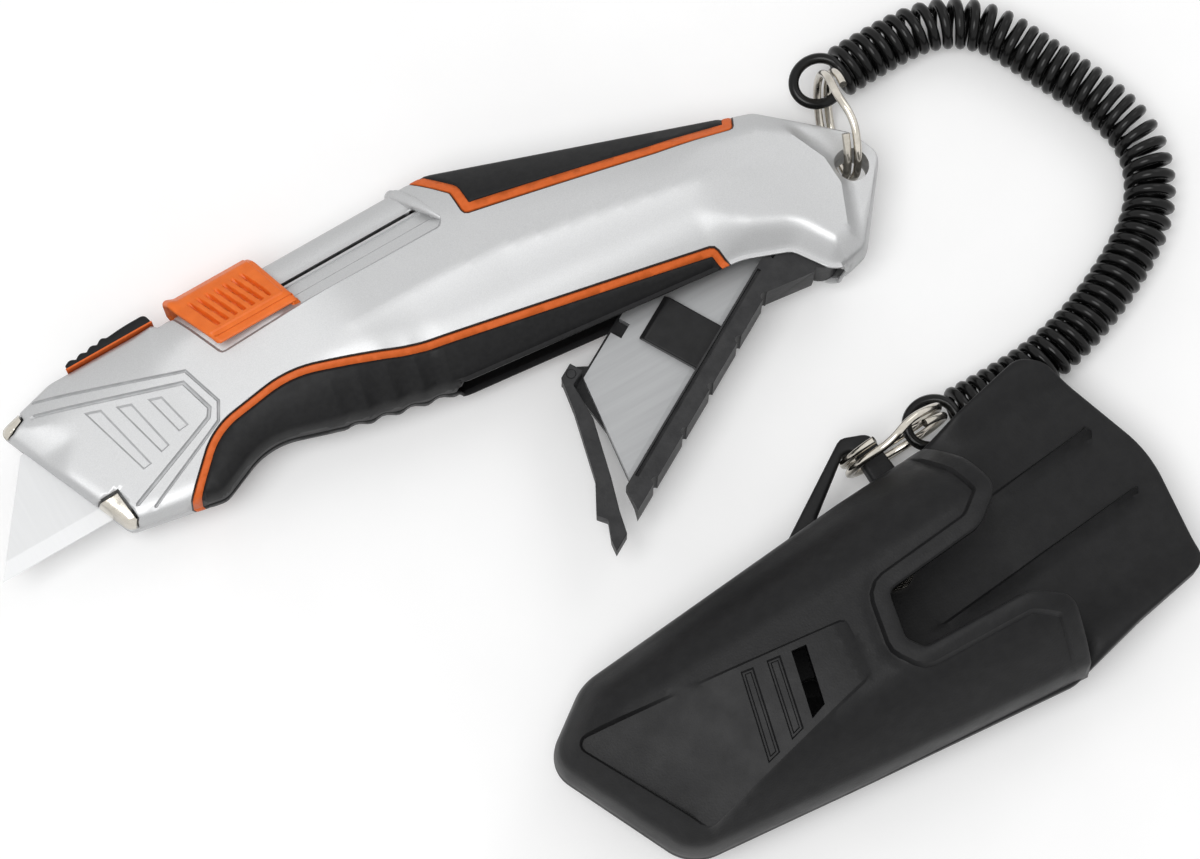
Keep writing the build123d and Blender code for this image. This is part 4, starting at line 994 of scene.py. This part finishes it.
def panel_height(points):
    """Height of the panel, which rises from the holster's tip to a bevelled end."""
    start, end = np.array(PANEL[0][:2]), np.array(PANEL[-1][:2])
    run = (end - start) / norm(end - start)
    along = (points - start) @ np.array((-run[1], run[0]))
    bevel = 0.7 * np.clip(1 - distance(points, PANEL_END) / PANEL_BEVEL, 0, 1)
    return np.polyval(PANEL_PROFILE, along) - bevel


def holster_height(points):
    """Height of the pocket's outside above the table."""
    x = points[:, 0]
    edge = distance(points, SIDE_LINE)
    front = TIP_TOP + (MOUTH_TOP - TIP_TOP) * (x - TIP_X) / (MOUTH_X - TIP_X)
    wall = (EDGE_Z - BACK_Z) * quarter_round(edge, 1.3)
    roof = BACK_Z + wall + 1.55 * np.maximum(edge - 0.6, 0)
    height = soft_min(front, roof, np.interp(x, (-40, -20, 20), (3.5, 6.0, 8.0)))
    lip = distance(points, LIP_LINE)
    height += 1.0 * (1 - smooth(LIP_WIDTH - 0.2, LIP_WIDTH + 0.4, lip)) * smooth(0.5, 4.0, edge)
    height -= 0.9 * (1 - quarter_round(lip, 0.9))
    beside = lip - LIP_WIDTH
    height -= 0.3 * smooth(0.1, 0.5, beside) * (1 - smooth(0.9, 2.0, beside))
    panel = np.clip((0.25 - outside(points, PANEL_OUTLINE)) / 0.5, 0, 1)
    height += panel * (panel_height(points) - height)
    for bar in PANEL_BARS:
        gap = outside(points, bar)
        height -= 0.45 * np.clip((0.12 - gap) / 0.28, 0, 1)
        height += 0.22 * np.clip((-gap - 0.45) / 0.2, 0, 1)
    return np.maximum(height, BACK_Z)


def holster_front():
    """The pocket's front with its lip, panel and slot."""
    slot = anticlockwise(divided(PANEL_SLOT, 0.8, True))
    lines = alongside(LIP_LINE, False, LIP_STEPS) + alongside(PANEL_OUTLINE, True, (-0.25, 0.25))
    lines.append((divided(PANEL_END - (PANEL_BEVEL, 0), 0.8, False)[1:-1], False))
    for bar in PANEL_BARS:
        lines += alongside(anticlockwise(divided(bar, 0.8, True)), True, (-0.12, 0.16, 0.45, 0.65))
    flat, faces = triangles_over(
        FRONT_OUTLINE, HOLSTER_RINGS, trimmed(lines), [slot], 1.3, (SIDE_LINE, False))
    faces = without_flats(flat, faces, SIDE_LINE)
    places = np.column_stack((flat, holster_height(flat)))
    piece = mesh_piece("holster_front", places, faces, WALL, [(slot, PANEL_SLOT_FOOT)])
    fit_out(piece, HOLSTER_BLACK, "holster_shell")


def trimmed(lines):
    """Runs of the lines that lie inside the pocket's outline."""
    kept = []
    for line, closed in lines:
        good = inside(line, FRONT_OUTLINE) & (distance(line, FRONT_OUTLINE, True) > 0.1)
        if closed and good.all():
            kept.append((line, True))
            continue
        runs = [[]]
        for point, fits in zip(line, good):
            if fits:
                runs[-1].append(point)
            else:
                runs.append([])
        kept += [(np.array(run), False) for run in runs if len(run) > 1]
    return kept


def flap_height(points):
    """Top of the back wall, with rolled sides and two fins on the flap."""
    x, y = points[:, 0], points[:, 1]
    out = smooth(50.0, 58.0, x)
    sides = np.minimum(np.abs(y + 62.0), np.abs(y + 111.5))
    height = BACK_Z + WALL + 2.2 * out * (1 - smooth(0.0, 8.0, sides)) + 0.5 * out
    for start, end in np.array(FINS):
        length = norm(end - start)
        run = (end - start) / length
        ahead = (points - start) @ run
        across = (points - start) @ np.array((-run[1], run[0]))
        share = np.clip(ahead / length, 0, 1)
        tall = FIN_HEIGHT * share * (1 - smooth(0, 0.6, ahead - length)) * (ahead > 0)
        steep, gentle = np.clip(1 - across / 0.5, 0, 1), np.clip(1 + across / 3.4, 0, 1) ** 2
        height += tall * np.where(across > 0, steep, gentle)
    return height - 0.8 * (1 - quarter_round(distance(points, FLAP_OUTLINE, True), 0.9))


def holster_back():
    """The back wall and flap, with a window behind the panel's slot."""
    window = anticlockwise(outline_of(BACK_WINDOW))
    lines = []
    for fin in FINS:
        lines += alongside(divided(fin, 1.0, False), False, (0.0, 0.5))
    flat, faces = triangles_over(FLAP_OUTLINE, FLAP_RINGS, lines, [window], 1.5)
    piece = mesh_piece("holster_back", np.column_stack((flat, flap_height(flat))), faces, floor=BACK_Z)
    fit_out(piece, HOLSTER_BLACK, "holster_shell")


def holster_eye():
    """The lanyard's eye at the pocket's side."""
    outline = anticlockwise(outline_of(EYE, 0.6))
    opening = anticlockwise(outline_of(EYE_OPENING, 0.6))
    lines = alongside(opening, True, (-0.12, -0.3, -0.55, -0.8))
    flat, faces = triangles_over(outline, (0.1, 0.3, 0.6, 0.9), lines, [opening], 0.8)
    edge = np.minimum(distance(flat, outline, True), distance(flat, opening, True))
    top = EYE_TOP - 0.8 * (1 - quarter_round(edge, 0.8))
    piece = mesh_piece("holster_eye", np.column_stack((flat, top)), faces, floor=BACK_Z)
    fit_out(piece, HOLSTER_BLACK, "holster_shell")


holster_front()
holster_back()
holster_eye()

# Coiled lanyard

COIL_ROUTE = (
    (0.07653, 0.00577), (0.0860, 0.0062), (0.0975, 0.0054), (0.1060, -0.0005), (0.1110, -0.0120),
    (0.1165, -0.0240), (0.1186, -0.0360), (0.1125, -0.0475), (0.1010, -0.0545), (0.0875, -0.0600),
    (0.0732, -0.0622), (0.0594, -0.0616),
)
COIL_RADIUS = 3.9
COIL_Z = 4.85
CORD_WIRE = 2.0
CURLS = 54
CURL_POINTS = 54
ROUTE_STEPS = 160
LOOP_STEPS = 12
AXIS_STEPS = 4000
BEND_WINDOW = 121
MOST_BEND = 0.12
UP = np.array((0, 0, 1.0))
END_LOOP = (
    (0.0, 0.0, 0.0), (0.0, 1.35, 0.0), (1.78, 3.53, -0.1), (4.65, 4.36, -0.3), (7.52, 3.53, -0.6),
    (9.3, 1.35, -0.9), (9.3, -1.35, -1.2), (7.52, -3.53, -1.5), (4.65, -4.36, -1.75), (3.2, -3.95, -1.9),
)


def spline_points(places, steps):
    """Points read along a NURBS spline with these control points, in millimetres."""
    curve = bpy.data.curves.new("cord_route", "CURVE")
    curve.dimensions = "3D"
    curve.resolution_u = steps
    spline = curve.splines.new("NURBS")
    spline.points.add(len(places) - 1)
    for point, place in zip(spline.points, places):
        point.co = (*(Vector(place) * MM), 1)
    spline.order_u = 3
    spline.use_endpoint_u = True
    holder = placed("cord_route", curve)
    bpy.context.view_layer.update()
    mesh = bpy.data.meshes.new_from_object(holder)
    points = np.array([tuple(vertex.co) for vertex in mesh.vertices]) / MM
    bpy.data.objects.remove(holder)
    bpy.data.curves.remove(curve)
    bpy.data.meshes.remove(mesh)
    return points


def coil_axis():
    """Points along the coil's axis, their headings and the curls up to each."""
    axis = spline_points([(x / MM, y / MM, COIL_Z) for x, y in COIL_ROUTE], ROUTE_STEPS)
    marks = travel(axis)
    fine = np.linspace(0, marks[-1], AXIS_STEPS)
    centre = read_off(fine, marks, axis)
    ahead = np.gradient(centre, axis=0)
    heading = np.unwrap(np.arctan2(ahead[:, 1], ahead[:, 0]))
    bend = np.pad(np.abs(np.gradient(heading, fine)), BEND_WINDOW // 2, mode="edge")
    bend = np.convolve(bend, np.ones(BEND_WINDOW) / BEND_WINDOW, "valid")
    pace = 1 - COIL_RADIUS * np.clip(bend, 0, MOST_BEND)
    turned = np.concatenate(((0,), np.cumsum((pace[1:] + pace[:-1]) / 2)))
    return centre, heading, turned * (CURLS / turned[-1])


def end_loop(place, heading, away):
    """The open eye at one end, from the coil outward."""
    outward = np.array((math.cos(heading), math.sin(heading), 0)) * away
    across = np.array((-math.sin(heading), math.cos(heading), 0)) * -away
    knots = [place + outward * out + across * side + UP * rise for out, side, rise in END_LOOP]
    return spline_points(knots, LOOP_STEPS)


def coil_path():
    """Points along the cord from one end loop, round the curls, to the other."""
    centre, heading, turned = coil_axis()
    turns = np.linspace(0, CURLS, CURLS * CURL_POINTS + 1)
    spot = read_off(turns, turned, centre)
    faced = np.interp(turns, turned, heading)
    angle = np.pi / 2 + 2 * np.pi * turns
    sideways = np.stack((-np.sin(faced), np.cos(faced), 0 * faced), axis=1)
    curls = spot + COIL_RADIUS * (sideways * np.cos(angle)[:, None] + UP * np.sin(angle)[:, None])
    opening = end_loop(curls[0], heading[0], -1)
    closing = end_loop(curls[-1], heading[-1], 1)
    return np.vstack((opening[::-1], curls[1:-1], closing))


def lanyard():
    """The coiled cord from ring to ring."""
    path = coil_path()
    piece = tube("lanyard", path, np.full(len(path), CORD_WIRE / 2))
    piece.data.materials.append(CORD_BLACK)
    points = [Vector(point) for point in (path * MM).tolist()]
    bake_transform(piece)
    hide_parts("lanyard_coil")
    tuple(points[0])


lanyard()

# Carried-over CAD pieces

FINISH = {
    "blade": BLADE_STEEL, "spare_blades": SPARE_STEEL, "detent_spring": BLADE_STEEL,
    "knife_ring": NICKEL, "holster_ring": NICKEL, "clip_rivets": NICKEL,
}
EASED = {
    "drawer_tray": (DRAWER_BLACK, 0.2), "latch_arm": (DRAWER_BLACK, 0.15),
    "blade_clip": (BLACK_PLASTIC, 0.35), "blade_carrier": (BLACK_PLASTIC, 0.2),
    "body_screws": (NICKEL, 0.2), "belt_clip": (HOLSTER_BLACK, 0.4),
}
EASED_ANGLE = math.radians(35)
WELD = 1e-6
CORNER_REACH = 0.05
BELT_CLIP_CUT = (-35.0, -78.8, 0.0)
BELT_CLIP_CUT_FACES = (-0.907, -0.421, 0.0)
DRAWER_HEADING = math.radians(209)
FLOOR_REACH = (((36.0, 22.0), (38.9, 26.7)), ((12.0, 22.0), (16.1, 26.7)))


def trim_belt_clip(form):
    """Cuts the belt clip's free corner along the holster's tip."""
    whole = [*form.verts, *form.edges, *form.faces]
    place = Vector(BELT_CLIP_CUT) * MM
    cut = bmesh.ops.bisect_plane(
        form, geom=whole, plane_co=place, plane_no=BELT_CLIP_CUT_FACES, clear_outer=True)
    rim = [item for item in cut["geom_cut"] if isinstance(item, bmesh.types.BMEdge)]
    bmesh.ops.holes_fill(form, edges=rim)


def in_drawer(along, into):
    """A place at a distance along the open drawer and one into the handle."""
    ahead = Vector((math.cos(DRAWER_HEADING), math.sin(DRAWER_HEADING)))
    return (Vector(PIN_PLACE) + ahead * along + Vector((ahead.y, -ahead.x)) * into) * MM


def widen_floor(form):
    """Draws the tray's floor out under the back of the stored blades."""
    for before, after in FLOOR_REACH:
        corner = in_drawer(*before)
        moved = [vertex for vertex in form.verts if (vertex.co.xy - corner).length < CORNER_REACH * MM]
        for vertex in moved:
            vertex.co.xy = in_drawer(*after)


RESHAPED = {"belt_clip": trim_belt_clip, "drawer_tray": widen_floor}


def eased_node(node, material, width):
    """A copy that replaces a CAD node, with its edges rounded by a width."""
    form = bmesh.new()
    form.from_mesh(NODES[node].data)
    bmesh.ops.remove_doubles(form, verts=form.verts, dist=WELD)
    if node in RESHAPED:
        RESHAPED[node](form)
    bmesh.ops.recalc_face_normals(form, faces=form.faces)
    mesh = bpy.data.meshes.new(f"{node}_eased")
    form.to_mesh(mesh)
    form.free()
    mesh.set_sharp_from_angle(angle=SHARP)
    piece = placed(mesh.name, mesh)
    fit_out(piece, material, node)
    ease = piece.modifiers.new("eased_edges", "BEVEL")
    ease.width = width * MM
    ease.segments = 3
    ease.limit_method = "ANGLE"
    ease.angle_limit = EASED_ANGLE


for node, material in FINISH.items():
    NODES[node].data.materials.clear()
    NODES[node].data.materials.append(material)
for node, (material, width) in EASED.items():
    eased_node(node, material, width)

# Studio

CAMERA_PLACE = (-0.08868, -0.18263, 0.66683)
CAMERA_TARGET = (0.00197, -0.03177, 0.010)
LENS = 112.2
WORLD_STRENGTH = 0.5
FLOOR_LIFT = 0.08
LAMP_TARGET = (0, -0.03, 0)


def aimed(name, data, place, target):
    """A new object at a place, turned towards a target."""
    holder = placed(name, data)
    holder.location = place
    holder.rotation_euler = (Vector(target) - Vector(place)).to_track_quat("-Z", "Y").to_euler()
    return holder


def area_light(name, place, size, power):
    """A round lamp that faces the object."""
    data = bpy.data.lights.new(name, "AREA")
    data.shape = "DISK"
    data.size = size
    data.energy = power
    aimed(name, data, place, LAMP_TARGET)


def floor():
    """A pale floor that takes the shadow and shows white to the camera."""
    bpy.ops.mesh.primitive_plane_add(size=6, location=(0, 0, -0.0004))
    plane = bpy.context.object
    plane.name = "floor"
    material, bsdf = shader("floor")
    tint(material, bsdf, noise(material, 40, 3), (0.93, 0.93, 0.93), (0.95, 0.95, 0.95))
    settled(bsdf, {"Roughness": 0.7, "Emission Color": (1, 1, 1, 1)})
    path = new_node(material, "LightPath", {})
    lift = new_node(material, "Math", {1: FLOOR_LIFT})
    lift.operation = "MULTIPLY"
    link(material, path, "Is Camera Ray", lift, 0)
    link(material, lift, "Value", bsdf, "Emission Strength")
    plane.data.materials.append(material)


def white_world():
    """Even light from all round, which shows as white."""
    world = bpy.data.worlds.new("studio")
    world.use_nodes = True
    bpy.context.scene.world = world
    nodes, links = world.node_tree.nodes, world.node_tree.links
    back = settled(nodes["Background"], {"Color": (1, 1, 1, 1), "Strength": WORLD_STRENGTH})
    white = new_node(world, "Background", {"Color": (1, 1, 1, 1)})
    path = new_node(world, "LightPath", {})
    choice = new_node(world, "MixShader", {})
    shown = path.outputs["Is Camera Ray"]
    for ray in ("Is Glossy Ray", "Is Transmission Ray"):
        either = new_node(world, "Math", {})
        either.operation = "MAXIMUM"
        links.new(shown, either.inputs[0])
        links.new(path.outputs[ray], either.inputs[1])
        shown = either.outputs["Value"]
    links.new(shown, choice.inputs["Fac"])
    links.new(back.outputs["Background"], choice.inputs[1])
    links.new(white.outputs["Background"], choice.inputs[2])
    links.new(choice.outputs["Shader"], nodes["World Output"].inputs["Surface"])


def photo_camera():
    """The camera at the photograph's viewing angle."""
    camera = bpy.data.cameras.new("camera")
    camera.lens = LENS
    camera.sensor_width = 36
    camera.sensor_fit = "HORIZONTAL"
    camera.clip_start = 0.01
    bpy.context.scene.camera = aimed("camera", camera, CAMERA_PLACE, CAMERA_TARGET)


floor()
white_world()
area_light("key", (-0.42, -0.22, 1.3), 0.9, 10.0)
area_light("fill", (0.8, 0.3, 0.8), 0.6, 1.0)
photo_camera()
bpy.context.scene.view_settings.view_transform = "Standard"
